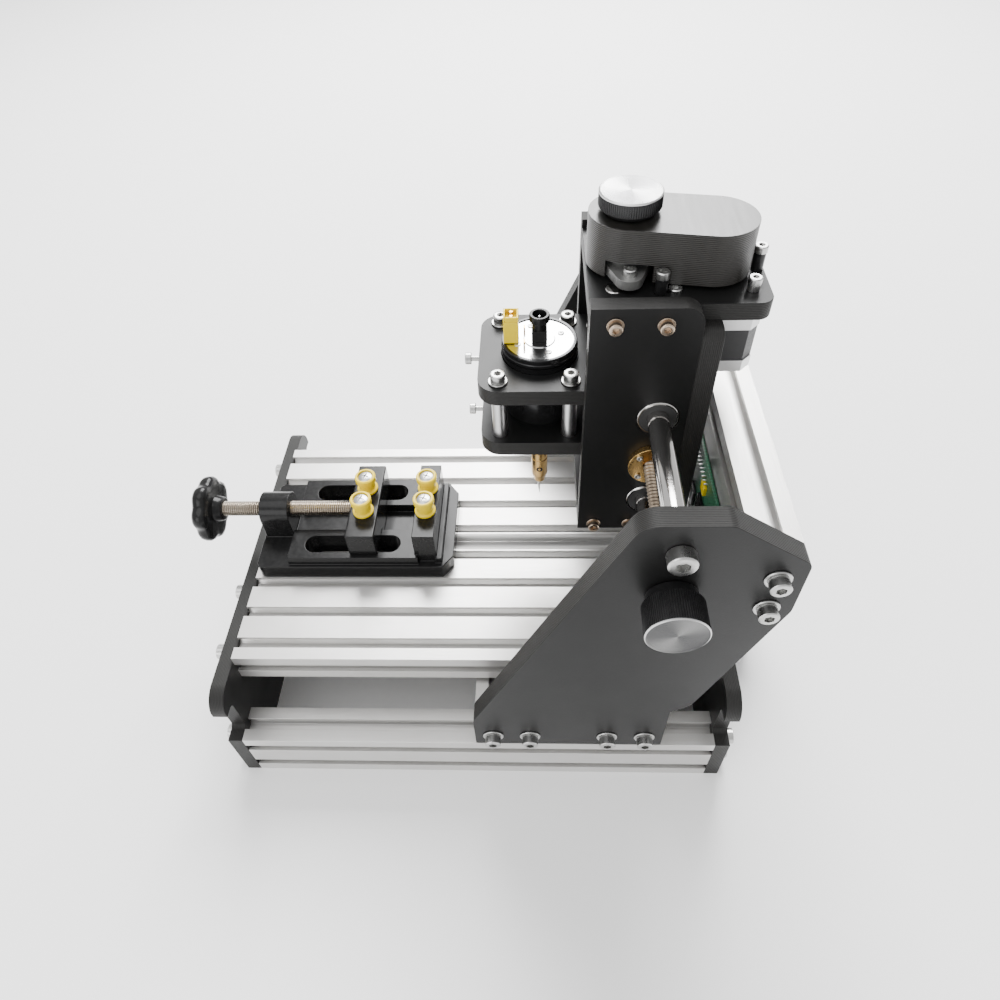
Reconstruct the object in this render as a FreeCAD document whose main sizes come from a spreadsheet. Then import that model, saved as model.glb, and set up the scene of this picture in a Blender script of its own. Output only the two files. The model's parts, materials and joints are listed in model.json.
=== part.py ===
import FreeCAD, Part
import os
import re
import Sketcher

# Desktop CNC router with a fixed bed and a moving gantry, in millimetres.
# +X runs along the gantry to its hand knob, +Y from the vise end to the
# motor end of the bed, +Z up. The origin is on the ground, in the middle of
# the base frame.

SIZES = {
    # base frame and bed, in slotted aluminium extrusion
    "module": 20, "slot_mouth": 6.2, "slot_lip": 1.8, "slot_chamber": 11, "slot_shoulder": 3.4,
    "slot_floor": 6, "slot_depth": 6.1, "core_bore": 4.2,
    "frame_long": 264, "frame_wide": 214, "bed_low": 64.3,
    "end_thick": 8, "end_top": 81, "end_recess": 9.4, "end_recess_top": 67, "end_inset": 1.6,
    "end_corner": 12,
    # gantry boards, seen from the side
    "gantry_thick": 10, "gantry_low": 41, "toe_front": 0.6, "toe_rise": 68, "crown_front": 73,
    "crown_top": 231, "crown_back": 106, "shoulder_back": 139, "shoulder_high": 208,
    "shoulder_low": 176, "heel_back": 102, "heel_rise": 81, "waist_back": 111, "waist_rise": 88,
    "rear_member_back": 102, "beam_back": 138, "beam_low": 169,
    # guide rods and lead screws
    "rod_bore": 10, "screw_bore": 8, "run_gap": 0.05, "seat_gap": 0.1,
    "xrod_back": 88.5, "xrod_high": 215, "xscrew_high": 188, "xrod_low": 161,
    "yrod_side": 47, "yrod_high": 28, "block_wide": 36, "block_long": 34, "block_low": 15,
    "nut_wall": 1.1, "nut_long": 12, "nut_flange": 22, "nut_flange_thick": 3.4,
    "lift_nut_flange": 17.6, "nut_block_wide": 28, "nut_block_long": 24, "nut_block_low": 18,
    # carriage box on the gantry
    "box_side": -6, "box_inner": 62, "board_thick": 8, "box_front": 56, "box_back": 101,
    "box_low": 138.5, "box_top": 272.6, "rear_thick": 9, "lid_high": 269, "lid_back": 129.5,
    "linear_outer": 19, "linear_long": 29,
    # tool slide
    "slide_wide": 59, "slide_front": 8, "slide_back": 78, "slide_low": 183.5, "slide_high": 215.5,
    "slide_thick": 8, "zscrew_back": 72.5, "zrod_bore": 8, "zrod_side": 18.5, "zrod_back": 67,
    "sleeve_outer": 15, "standoff_side": 22.5, "standoff_mid": 34, "standoff_back": 16.5,
    "standoff_bore": 7, "tool_back": 36.5, "tool_bore": 35.8, "collet_bore": 8.7,
    "collet_low": 135, "collet_high": 166, "cutter_tip": 122.9, "cutter_bore": 3.175,
    # motors, knobs and the belt cover
    "motor_wide": 42.3, "motor_long": 34, "motor_corner": 4.5, "boss_bore": 22, "boss_high": 2,
    "motor_hole_edge": 5.65, "motor_shaft": 5,
    "lift_motor_long": 30, "lift_motor_side": 0, "lift_motor_back": 106.5,
    "knob_bore": 25.6, "knob_long": 18.3, "knob_gap": 1,
    "cover_low": 271, "cover_top": 293, "cover_wide": 33, "cover_wall": 2.4, "ear_bore": 11,
    "ear_thick": 4, "ear_low": 2, "hub_bore": 21, "hub_tall": 10,
    "pulley_low": 281, "pulley_flange": 16, "pulley_tooth": 12.6, "belt_wide": 6, "belt_thick": 1.4,
    # vise on the bed
    "vise_side": -6.2, "vise_front": -129, "vise_back": -14, "vise_wide": 65, "vise_base": 10,
    "vise_rail": 16, "vise_channel": 19, "vise_rail_wide": 21, "vise_rail_front": -110,
    "vise_slot_wide": 12, "vise_slot_front": -101, "vise_slot_back": -45,
    "jaw_wide": 56, "jaw_top": 32, "jaw_front": -73.6, "jaw_thick": 16.5, "fixed_front": -35.6,
    "fixed_thick": 12.5, "vise_screw_bore": 9, "vise_screw_high": 24.7, "boss_front": -128,
    "vise_boss_long": 17, "boss_wide": 20, "vise_knob_bore": 39, "vise_knob_long": 13,
    "vise_knob_front": -165, "pin_bore": 12, "pin_tall": 11.5, "pin_side": 8.7,
    "pin_foot": 1.5, "pin_groove": 1.2, "pin_head": 3, "pin_rim": 1.7, "pin_socket": 1.6,
    "pin_screw_tall": 1.4, "lobe_bore": 12.5, "lobe_reach": 4.4,
    # socket screws
    "shank": 4, "head": 8.5, "head_tall": 5, "washer": 11, "washer_thick": 1, "hex_key": 4,
    "small_shank": 3, "small_head": 5.6, "small_head_tall": 3, "small_washer": 7,
    "small_key": 2.5, "small_washer_thick": 0.6, "low_head_tall": 1.8, "clamp_stand": 4,
    "screw_bite": 12, "bolt_bite": 10, "rod_tap": 13, "bolt_corner": 5.8, "broad_washer": 11.6,
    "broad_thick": 1.4, "slide_head": 7, "slide_head_tall": 4, "slide_key": 3,
    "slide_washer": 9, "hole_gap": 1, "small_hole_gap": 0.6, "washer_gap": 0.4,
    # controller board
    "card_wide": 58, "card_tall": 40, "card_thick": 1.6, "card_side": 16, "card_low": 150,
    "card_gap": 3,
}

doc = FreeCAD.newDocument("desktop_router")
sheet = doc.addObject("Spreadsheet::Sheet", "Sizes")
for row, (alias, amount) in enumerate(SIZES.items(), start=1):
    sheet.set(f"A{row}", alias)
    sheet.set(f"B{row}", str(amount))
    sheet.setAlias(f"B{row}", alias)
doc.recompute()

subparts = []
BED_SLOTS = 4
X, Y, Z = (1, 0, 0), (0, 1, 0), (0, 0, 1)
NEG_X, NEG_Y, NEG_Z = (-1, 0, 0), (0, -1, 0), (0, 0, -1)

# Places that several pieces share
RAIL_TOP = "2 * module"
RAIL_SIDE = "(frame_wide / 2 - module / 2)"
BED_TOP = "(bed_low + module)"
FRAME_END = "(frame_long / 2)"
PLATE_INNER = "(frame_wide / 2 - gantry_thick)"
FRONT_MEMBER_BACK = "(toe_front + 2 * module)"
BOX_NEAR = "(box_side + box_inner / 2)"
BOX_FAR = "(box_side - box_inner / 2)"
LID_LOW = "(lid_high - board_thick)"
LIFT_MOTOR_LOW = f"({LID_LOW} - lift_motor_long)"
SLIDE_TOP = "(slide_high + slide_thick)"
SLIDE_UNDER = "(slide_low + slide_thick)"
JAW_TOP = f"({BED_TOP} + jaw_top)"
VISE_AXIS = f"({BED_TOP} + vise_screw_high)"
GANTRY_SCREWS_FRONT = ("(toe_front + module / 2)", "(toe_front + 3 * module / 2)")
GANTRY_SCREWS_REAR = ("(rear_member_back - 3 * module / 2)", "(rear_member_back - module / 2)")
MEMBER_MID = "(gantry_low + module / 2)"
BEAM_MID = "(beam_back - module / 2)"
BEAM_SCREWS = ("(beam_low + module / 2)", "(beam_low + 3 * module / 2)")


# ---- helpers: values, placing and shapes -----------------------------------

def formula(expression):
    """An expression whose plain words are cells of the sheet."""
    return re.sub(r"[a-z][a-z_]*[a-z]",
                  lambda word: "Sizes." + word.group(0) if word.group(0) in SIZES else word.group(0),
                  str(expression))


def value(expression):
    return float(sheet.evalExpression(formula(expression)))


def bind(thing, **sizes):
    for name, expression in sizes.items():
        thing.setExpression(name, formula(expression))
    return thing


def place(thing, x=0, y=0, z=0, along=Z):
    thing.Placement.Rotation = FreeCAD.Rotation(FreeCAD.Vector(0, 0, 1), FreeCAD.Vector(*along))
    for letter, expression in zip("xyz", (x, y, z)):
        thing.setExpression(f".Placement.Base.{letter}", formula(expression))
    return thing


def new(kind, name="piece"):
    return doc.addObject(kind, name)


def block(low, size):
    box = bind(new("Part::Box"), Length=size[0], Width=size[1], Height=size[2])
    return place(box, *low)


def bar(at, along, bore, length):
    cylinder = bind(new("Part::Cylinder"), Radius=f"({bore}) / 2", Height=length)
    return place(cylinder, *at, along=along)


def cone(at, along, bore_low, bore_high, length):
    taper = bind(new("Part::Cone"), Radius1=f"({bore_low}) / 2", Radius2=f"({bore_high}) / 2",
                 Height=length)
    return place(taper, *at, along=along)


def cut(base, *tools):
    result = new("Part::Cut")
    result.Base = base
    result.Tool = tools[0] if len(tools) == 1 else join(*tools)
    return result


def join(*pieces):
    result = new("Part::MultiFuse")
    result.Shapes = list(pieces)
    return result


def together(*pieces):
    result = new("Part::Compound")
    result.Links = list(pieces)
    return result


def ring(at, along, outer, inner, length):
    return cut(bar(at, along, outer, length), bar(at, along, inner, length))


def subpart(label, thing):
    thing.Label = label
    subparts.append(thing)
    return thing


def pin_point(sketch, geometry, point, x, y, pending):
    """Hold a sketch point at two expressions measured from the sketch's origin."""
    for kind, expression, axis in (("DistanceX", x, -2), ("DistanceY", y, -1)):
        amount = value(expression)
        if abs(amount) < 1e-9:
            sketch.addConstraint(Sketcher.Constraint("PointOnObject", geometry, point, axis))
        else:
            index = sketch.addConstraint(Sketcher.Constraint(kind, -1, 1, geometry, point, amount))
            pending.append((index, expression))


def board(plane, outline, thick, at=(0, 0, 0), holes=(), rounds=()):
    """A flat board: a closed outline and round holes, padded along the plane's normal.

    plane is XY_Plane, XZ_Plane (padded towards -Y) or YZ_Plane; holes are
    (x, y, bore) and rounds are (index of the outline point, radius).
    """
    body = new("PartDesign::Body", "board")
    doc.recompute()
    support = [f for f in body.Origin.OriginFeatures if f.Role == plane][0]
    sketch = body.newObject("Sketcher::SketchObject", "outline")
    sketch.AttachmentSupport = (support, [""])
    sketch.MapMode = "FlatFace"
    corners = [FreeCAD.Vector(value(x), value(y), 0) for x, y in outline]
    count = len(corners)
    sketch.addGeometry([Part.LineSegment(corners[i], corners[(i + 1) % count])
                        for i in range(count)], False)
    sketch.addConstraint([Sketcher.Constraint("Coincident", i, 2, (i + 1) % count, 1)
                          for i in range(count)])
    pending = []
    for i, (x, y) in enumerate(outline):
        pin_point(sketch, i, 1, x, y, pending)
    for x, y, bore in holes:
        centre = FreeCAD.Vector(value(x), value(y), 0)
        index = sketch.addGeometry(Part.Circle(centre, FreeCAD.Vector(0, 0, 1), value(bore) / 2))
        pin_point(sketch, index, 3, x, y, pending)
        radius = sketch.addConstraint(Sketcher.Constraint("Radius", index, value(bore) / 2))
        pending.append((radius, f"({bore}) / 2"))
    for index, expression in pending:
        sketch.setExpression(f"Constraints[{index}]", formula(expression))
    pad = body.newObject("PartDesign::Pad", "thickness")
    pad.Profile = sketch
    bind(pad, Length=thick)
    place(body, *at)
    doc.recompute()
    for point, radius in rounds:
        round_corner(body, plane, corners[point], radius)
    return body


def round_corner(body, plane, corner, radius):
    """Round the edge of a board that stands on one corner of its outline."""
    first, second = {"XY_Plane": (0, 1), "XZ_Plane": (0, 2), "YZ_Plane": (1, 2)}[plane]
    base = body.Tip
    shape = base.Shape
    names = []
    for number, edge in enumerate(shape.Edges, start=1):
        ends = [vertex.Point for vertex in edge.Vertexes]
        if all(abs(end[first] - corner.x) + abs(end[second] - corner.y) < 1e-4 for end in ends):
            names.append(f"Edge{number}")
    fillet = body.newObject("PartDesign::Fillet", "corner")
    fillet.Base = (base, names)
    bind(fillet, Radius=radius)
    doc.recompute()


def slotted_outline(wide, tall):
    """Corners of a slotted extrusion's section, wide x tall modules, about its centre."""
    half_w, half_t = f"{wide} * module / 2", f"{tall} * module / 2"
    sides = ((f"-({half_w})", f"-({half_t})", (1, 0), (0, 1), wide),
             (half_w, f"-({half_t})", (0, 1), (-1, 0), tall),
             (half_w, half_t, (-1, 0), (0, -1), wide),
             (f"-({half_w})", half_t, (0, -1), (1, 0), tall))
    half = {"m": "slot_mouth / 2", "c": "slot_chamber / 2", "f": "slot_floor / 2"}
    walk = ((-1, "m", "0"), (-1, "m", "slot_lip"), (-1, "c", "slot_lip"),
            (-1, "c", "slot_shoulder"), (-1, "f", "slot_depth"), (1, "f", "slot_depth"),
            (1, "c", "slot_shoulder"), (1, "c", "slot_lip"), (1, "m", "slot_lip"), (1, "m", "0"))
    points = []
    for corner_x, corner_y, run, inward, slots in sides:
        points.append((corner_x, corner_y))
        for slot in range(slots):
            for sign, key, deep in walk:
                far = f"({slot} + 0.5) * module + {sign} * {half[key]}"
                points.append(tuple(f"{corner} + {run[i]} * ({far}) + {inward[i]} * {deep}"
                                    for i, corner in enumerate((corner_x, corner_y))))
    return points


def slotted_rail(plane, wide, tall, length, at):
    bores = [(f"({i} - {wide - 1} / 2) * module", f"({j} - {tall - 1} / 2) * module", "core_bore")
             for i in range(wide) for j in range(tall)]
    return board(plane, slotted_outline(wide, tall), length, at, holes=bores)


def socket_screw(shank, shank_long, head, head_tall, key):
    """A cap screw with its head on +Z, the seat of the head at the origin."""
    screw = join(bar((0, 0, f"-({shank_long})"), Z, shank, shank_long),
                 bar((0, 0, 0), Z, head, head_tall))
    hexagon = bind(new("Part::Prism"), Circumradius=f"({key}) * 0.577", Height=head_tall)
    hexagon.Polygon = 6
    place(hexagon, 0, 0, f"0.45 * ({head_tall})")
    return cut(screw, hexagon)


def washer(outer, inner, thick):
    return ring((0, 0, 0), Z, outer, inner, thick)


def stamp(prototype, places):
    """Copies of a prototype, each given as ((x, y, z), direction of its own +Z)."""
    copies = []
    for at, along in places:
        copy = new("App::Link", "copy")
        copy.LinkedObject = prototype
        copies.append(place(copy, *at, along=along))
    return copies


def washered(screw, spacer, thick, seats):
    """Screws seated on washers that lie on the given faces."""
    heads = [(tuple(f"{c} + {a} * ({thick})" for c, a in zip(at, along)), along)
             for at, along in seats]
    return stamp(spacer, seats) + stamp(screw, heads)


def stepper(long, at, along):
    """A square motor with cut corners, a round pilot boss and its front at the given place."""
    half, corner = "motor_wide / 2", "motor_corner"
    corners = []
    for sx, sy in ((1, -1), (1, 1), (-1, 1), (-1, -1)):
        pair = [(f"{sx} * {half}", f"{sy} * ({half} - {corner})"),
                (f"{sx} * ({half} - {corner})", f"{sy} * {half}")]
        corners += pair if sx * sy > 0 else pair[::-1]
    corners = corners[1:] + corners[:1]
    casing = board("XY_Plane", corners, long, (0, 0, f"-({long})"))
    return place(join(casing, bar((0, 0, 0), Z, "boss_bore", "boss_high")), *at, along=along)


long_screw = socket_screw("shank", "gantry_thick + screw_bite", "head", "head_tall", "hex_key")
end_screw = socket_screw("shank", "end_thick + screw_bite", "head", "head_tall", "hex_key")
short_screw = socket_screw("small_shank", "ear_low + ear_thick", "small_head", "small_head_tall",
                           "small_key")
stub_screw = bar((0, 0, 0), Z, "small_head", "small_head_tall")
low_screw = bar((0, 0, 0), Z, "small_head", "low_head_tall")
big_washer = washer("washer", "shank + washer_gap", "washer_thick")
fine_washer = washer("small_washer", "small_shank + washer_gap", "small_washer_thick")


# ---- base frame and bed ------------------------------------------------------

bed_profiles = []
for name, sign in (("near", ""), ("far", "-")):
    subpart(f"base_rail_{name}",
            slotted_rail("XZ_Plane", 1, 2, "frame_long", (f"{sign}{RAIL_SIDE}", FRAME_END, "module")))
    bed_profiles.append(slotted_rail("XZ_Plane", BED_SLOTS, 1, "frame_long",
                                     (f"{sign}{BED_SLOTS} * module / 2", FRAME_END,
                                      "bed_low + module / 2")))
subpart("bed_profiles", together(*bed_profiles))

half_wide, recess = "frame_wide / 2", "(frame_wide / 2 - end_recess)"
brow = "(frame_wide / 2 - end_inset)"
right_side = [(half_wide, "0.001"), (half_wide, RAIL_TOP), (recess, RAIL_TOP),
              (recess, "end_recess_top"), (brow, "end_recess_top"), (brow, "end_top")]
end_outline = right_side + [(f"-({x})", y) for x, y in reversed(right_side)]
end_rounds = [(2, 3), (3, 3), (5, "end_corner"), (6, "end_corner"), (8, 3), (9, 3)]
rail_bolts = [(f"{s}{RAIL_SIDE}", z) for s in ("", "-") for z in ("module / 2", "3 * module / 2")]
bed_bolts = [(f"{s} * module", "bed_low + module / 2") for s in (-3.5, -1.5, 1.5, 3.5)]
rod_seats = [(f"{s}yrod_side", "yrod_high", "rod_bore + 2 * seat_gap") for s in ("", "-")]
screw_holes = [(x, z, "shank + hole_gap") for x, z in rail_bolts + bed_bolts]
for name, seat, middle in (("front", f"-{FRAME_END}", "2 * screw_bore"),
                           ("rear", f"{FRAME_END} + end_thick", "boss_bore + 0.4")):
    subpart(f"end_plate_{name}",
            board("XZ_Plane", end_outline, "end_thick", (0, seat, 0), rounds=end_rounds,
                  holes=screw_holes + rod_seats + [(0, "yrod_high", middle)]))

end_seats = [((x, f"{s} * ({FRAME_END} + end_thick)", z), along)
             for s, along in ((-1, NEG_Y), (1, Y)) for x, z in rail_bolts + bed_bolts]
subpart("frame_screws", together(*stamp(end_screw, end_seats)))
y_rods = [bar((f"{sign}yrod_side", f"-({FRAME_END} + end_thick)", "yrod_high"), Y, "rod_bore",
              "frame_long + 2 * end_thick") for sign in ("", "-")]
subpart("y_rods", together(*y_rods))
subpart("y_motor", stepper("motor_long", (0, f"{FRAME_END} + end_thick", "yrod_high"), NEG_Y))
subpart("y_end_bearing",
        ring((0, f"-({FRAME_END} + end_thick)", "yrod_high"), Y, "2 * screw_bore - run_gap",
             "screw_bore + 2 * run_gap", "end_thick"))
subpart("y_lead_screw",
        bar((0, f"-({FRAME_END} + end_thick)", "yrod_high"), Y, "screw_bore",
            "frame_long + 2 * end_thick - boss_high - 0.2"))

# ---- gantry ------------------------------------------------------------------

gantry_outline = [("toe_front", "gantry_low"), ("heel_back", "gantry_low"),
                  ("heel_back", "heel_rise"), ("waist_back", "waist_rise"),
                  ("shoulder_back", "shoulder_low"), ("shoulder_back", "shoulder_high"),
                  ("crown_back", "crown_top"), ("crown_front", "crown_top"),
                  ("toe_front", "toe_rise")]
gantry_rounds = [(3, 8), (4, 14), (5, 5), (6, 6), (7, 11), (8, 14)]
member_bolts = [(y, MEMBER_MID) for y in GANTRY_SCREWS_FRONT + GANTRY_SCREWS_REAR]
beam_bolts = [(BEAM_MID, z) for z in BEAM_SCREWS]
rod_bolts = {"near": ["xrod_high"], "far": ["xrod_high", "xrod_low"]}
for name, seat, middle in (("near", PLATE_INNER, "2 * screw_bore"),
                           ("far", "-frame_wide / 2", "boss_bore + 0.4")):
    bolt_places = member_bolts + beam_bolts + [("xrod_back", z) for z in rod_bolts[name]]
    bolt_holes = [(y, z, "shank + hole_gap") for y, z in bolt_places]
    subpart(f"gantry_plate_{name}",
            board("YZ_Plane", gantry_outline, "gantry_thick", (seat, 0, 0), rounds=gantry_rounds,
                  holes=bolt_holes + [("xrod_back", "xscrew_high", middle)]))
members = [slotted_rail("YZ_Plane", 2, 1, f"2 * {PLATE_INNER}",
                        (f"-{PLATE_INNER}", f"{back} - module", MEMBER_MID))
           for back in (FRONT_MEMBER_BACK, "rear_member_back")]
subpart("cross_members", together(*members))
subpart("back_beam", slotted_rail("YZ_Plane", 1, 2, f"2 * {PLATE_INNER}",
                                  (f"-{PLATE_INNER}", BEAM_MID, "beam_low + module")))
ends = {"near": (1, X), "far": (-1, NEG_X)}
x_rods = []
for high in ("xrod_high", "xrod_low"):
    tapped = [bar((f"{s} * ({PLATE_INNER} - rod_tap)", "xrod_back", high), along,
                  "shank + 2 * seat_gap", "rod_tap")
              for name, (s, along) in ends.items() if high in rod_bolts[name]]
    x_rods.append(cut(bar((f"-{PLATE_INNER}", "xrod_back", high), X, "rod_bore",
                          f"2 * {PLATE_INNER}"), *tapped))
subpart("x_rods", together(*x_rods))
outer_seats = [((f"{s} * frame_wide / 2", y, z), along) for s, along in ends.values()
               for y, z in member_bolts + beam_bolts]
bolt_shank = "(gantry_thick + bolt_bite)"
hex_bolt = join(bar((0, 0, f"-{bolt_shank}"), Z, "shank", bolt_shank),
                bind(new("Part::Prism"), Circumradius="bolt_corner", Height="head_tall"))
broad_washer = washer("broad_washer", "shank + washer_gap", "broad_thick")
rod_bolt_seats = [((f"{s} * frame_wide / 2", "xrod_back", high), along)
                  for name, (s, along) in ends.items() for high in rod_bolts[name]]
subpart("gantry_screws",
        together(*washered(long_screw, big_washer, "washer_thick", outer_seats),
                 *washered(hex_bolt, broad_washer, "broad_thick", rod_bolt_seats)))

blocks = []
for middle in (f"{FRONT_MEMBER_BACK} - module", "rear_member_back - module"):
    for sign in ("", "-"):
        solid = block((f"{sign}yrod_side - block_wide / 2", f"{middle} - block_long / 2",
                       "block_low"), ("block_wide", "block_long", "gantry_low - block_low"))
        blocks.append(cut(solid, bar((f"{sign}yrod_side", f"{middle} - module", "yrod_high"), Y,
                                     "rod_bore + 2 * run_gap", "2 * module")))
subpart("y_bearing_blocks", together(*blocks))
nut_mid = f"({FRONT_MEMBER_BACK} - module)"
subpart("y_nut_block",
        cut(block(("-nut_block_wide / 2", f"{nut_mid} - nut_block_long / 2", "nut_block_low"),
                  ("nut_block_wide", "nut_block_long", "gantry_low - nut_block_low")),
            bar((0, f"{nut_mid} - module", "yrod_high"), Y, "screw_bore + 2 * run_gap",
                "2 * module")))
subpart("x_motor", stepper("motor_long", ("-frame_wide / 2", "xrod_back", "xscrew_high"), X))
subpart("x_end_bearing",
        ring((PLATE_INNER, "xrod_back", "xscrew_high"), X, "2 * screw_bore - run_gap",
             "screw_bore + 2 * run_gap", "gantry_thick"))
card_front = "(beam_back - module - card_gap - card_thick)"
card = block(("card_side", card_front, "card_low"), ("card_wide", "card_thick", "card_tall"))
spacers = [bar((f"card_side + {x}", "beam_back - module - card_gap", "beam_low + module / 4"), Y, 6,
               "card_gap") for x in (4, "card_wide - 4")]
driver = block(("card_side + 20", f"{card_front} - 1.6", "card_low + 12"), (10, 1.6, 10))
plug = block(("card_side + 22", f"{card_front} - 2.2", "card_low + 26"), (6, 2.2, 5))
subpart("controller_board", join(card, driver, plug, *spacers))


def drive_screw(start, finish):
    return bar((start, "xrod_back", "xscrew_high"), X, "screw_bore", f"{finish} - ({start})")


knob_start = "(frame_wide / 2 + knob_gap)"
subpart("x_lead_screw", drive_screw("-frame_wide / 2 + boss_high + 0.2", f"({knob_start} + 10)"))
knob_body = join(bar((knob_start, "xrod_back", "xscrew_high"), X, "knob_bore - 3", 4),
                 bar((f"{knob_start} + 4", "xrod_back", "xscrew_high"), X, "knob_bore",
                     "knob_long - 4"))
subpart("x_knob", cut(knob_body, bar((knob_start, "xrod_back", "xscrew_high"), X,
                                     "screw_bore + 2 * run_gap", 10.1)))

# ---- carriage box ------------------------------------------------------------

lid_mid, floor_mid = f"({LID_LOW} + board_thick / 2)", "(box_low + board_thick / 2)"
side_outline = [("box_front", "box_low"), ("box_back", "box_low"), ("box_back", "box_top"),
                ("box_front", "box_top")]
side_bolts = [("box_front + 10", lid_mid), ("box_front + 30", lid_mid),
              ("box_front + 8", floor_mid), ("box_front + 26", floor_mid)]
side_holes = [("xrod_back", z, "linear_outer + 2 * seat_gap") for z in ("xrod_high", "xrod_low")]
side_holes += [(y, z, "small_shank + small_hole_gap") for y, z in side_bolts]
nut_body = "(screw_bore + 2 * nut_wall)"
for name, seat, middle in (("near", BOX_NEAR, f"{nut_body} + 0.2"),
                           ("far", f"{BOX_FAR} - board_thick", "screw_bore + 3")):
    subpart(f"carriage_plate_{name}",
            board("YZ_Plane", side_outline, "board_thick", (seat, 0, 0), rounds=[(2, 8)],
                  holes=side_holes + [("xrod_back", "xscrew_high", middle)]))

box_outer = (f"({BOX_FAR} - board_thick)", f"({BOX_NEAR} + board_thick)")
notch_half = "(motor_wide / 2 + 1.5)"
notch_low = f"({LIFT_MOTOR_LOW} - 3)"
rear_outline = [(box_outer[0], "box_low"), (box_outer[1], "box_low"), (box_outer[1], LID_LOW),
                (f"lift_motor_side + {notch_half}", LID_LOW),
                (f"lift_motor_side + {notch_half}", notch_low),
                (f"lift_motor_side - {notch_half}", notch_low),
                (f"lift_motor_side - {notch_half}", LID_LOW), (box_outer[0], LID_LOW)]
subpart("carriage_back_plate",
        board("XZ_Plane", rear_outline, "rear_thick", (0, "box_back + rear_thick", 0),
              rounds=[(2, 5), (7, 5)]))
lid_outline = [(BOX_FAR, "box_front"), (BOX_NEAR, "box_front"), (BOX_NEAR, "lid_back"),
               (BOX_FAR, "lid_back")]
zrod_places = [(f"box_side {s} zrod_side", "zrod_back") for s in ("+", "-")]
rod_holes = [(x, y, "zrod_bore + 2 * seat_gap") for x, y in zrod_places]
lid_holes = rod_holes + [("box_side", "zscrew_back", "screw_bore + 3"),
                         ("lift_motor_side", "lift_motor_back", "boss_bore + 0.4")]
subpart("carriage_top_plate",
        board("XY_Plane", lid_outline, "board_thick", (0, 0, LID_LOW), rounds=[(2, 6), (3, 6)],
              holes=lid_holes))
floor_outline = lid_outline[:2] + [(BOX_NEAR, "box_back"), (BOX_FAR, "box_back")]
subpart("carriage_bottom_plate",
        board("XY_Plane", floor_outline, "board_thick", (0, 0, "box_low"),
              holes=rod_holes + [("box_side", "zscrew_back", "screw_bore + 2 * run_gap")]))
z_rods = [bar((x, y, "box_low"), Z, "zrod_bore", "lid_high - box_low") for x, y in zrod_places]
subpart("z_rods", together(*z_rods))

bushes = []
for high in ("xrod_high", "xrod_low"):
    for start, along in ((box_outer[1], NEG_X), (box_outer[0], X)):
        bushes.append(ring((start, "xrod_back", high), along, "linear_outer",
                           "rod_bore + 2 * run_gap", "linear_long"))
subpart("x_bearings", together(*bushes))
flange_face = box_outer[1]
brass = join(bar((f"{flange_face} - nut_long", "xrod_back", "xscrew_high"), X, nut_body,
                 "nut_long"),
             bar((flange_face, "xrod_back", "xscrew_high"), X, "nut_flange",
                 "nut_flange_thick"))
subpart("x_nut", cut(brass, bar((f"{flange_face} - 13", "xrod_back", "xscrew_high"), X,
                                "screw_bore + 2 * run_gap", 20)))
side_seats = [((face, y, z), along) for face, along in ((box_outer[1], X), (box_outer[0], NEG_X))
              for y, z in side_bolts]
clear_shank = socket_screw("small_shank", "board_thick", "small_head", "small_head_tall",
                           "small_key")
subpart("carriage_screws", together(*washered(clear_shank, fine_washer, "small_washer_thick",
                                               side_seats)))

ear_places = [f"box_side {s} zrod_side" for s in "+-"]
ears = [bar((x, "zscrew_back", "lid_high + ear_low"), Z, "ear_bore", "ear_thick")
        for x in ear_places]
waist_side, waist_half = "(zrod_side + 1.5)", "(ear_bore / 2 - 0.1)"
waist_outline = [(f"box_side - {waist_side}", f"zscrew_back - {waist_half}"),
                 ("box_side", "zscrew_back - 13"),
                 (f"box_side + {waist_side}", f"zscrew_back - {waist_half}"),
                 (f"box_side + {waist_side}", f"zscrew_back + {waist_half}"),
                 ("box_side", "zscrew_back + 13"),
                 (f"box_side - {waist_side}", f"zscrew_back + {waist_half}")]
waist = board("XY_Plane", waist_outline, "ear_thick", (0, 0, "lid_high + ear_low"))
hub = bar(("box_side", "zscrew_back", "lid_high"), Z, "hub_bore", "hub_tall")
ear_holes = [bar((x, "zscrew_back", "lid_high"), Z, "small_shank + washer_gap", "2 * hub_tall")
             for x in ear_places]
bearing_bore = bar(("box_side", "zscrew_back", "lid_high - 1"), Z, "screw_bore + 2 * run_gap",
                   "hub_tall + 2")
subpart("z_flange_bearing", cut(join(waist, hub, *ears), bearing_bore, *ear_holes))
subpart("z_motor", stepper("lift_motor_long", ("lift_motor_side", "lift_motor_back", LID_LOW), Z))


def obround(low, tall, grow):
    """A block that runs round both pulley axes, half the cover's width plus grow."""
    ends = (("box_side", "zscrew_back"), ("lift_motor_side", "lift_motor_back"))
    reach = FreeCAD.Vector(value("lift_motor_side - box_side"),
                           value("lift_motor_back - zscrew_back"), 0)
    radius = f"(cover_wide / 2 + ({grow}))"
    rounds = [bar((x, y, low), Z, f"2 * {radius}", tall) for x, y in ends]
    middle = bind(new("Part::Box"), Length=f"{reach.Length}", Width=f"2 * {radius}", Height=tall)
    place(middle, "box_side", "zscrew_back", low)
    middle.Placement.Rotation = FreeCAD.Rotation(FreeCAD.Vector(1, 0, 0), reach)
    side = FreeCAD.Vector(-reach.y, reach.x, 0).normalize()
    middle.setExpression(".Placement.Base.x", formula(f"box_side - {radius} * {side.x}"))
    middle.setExpression(".Placement.Base.y", formula(f"zscrew_back - {radius} * {side.y}"))
    return join(*rounds, middle)


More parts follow.
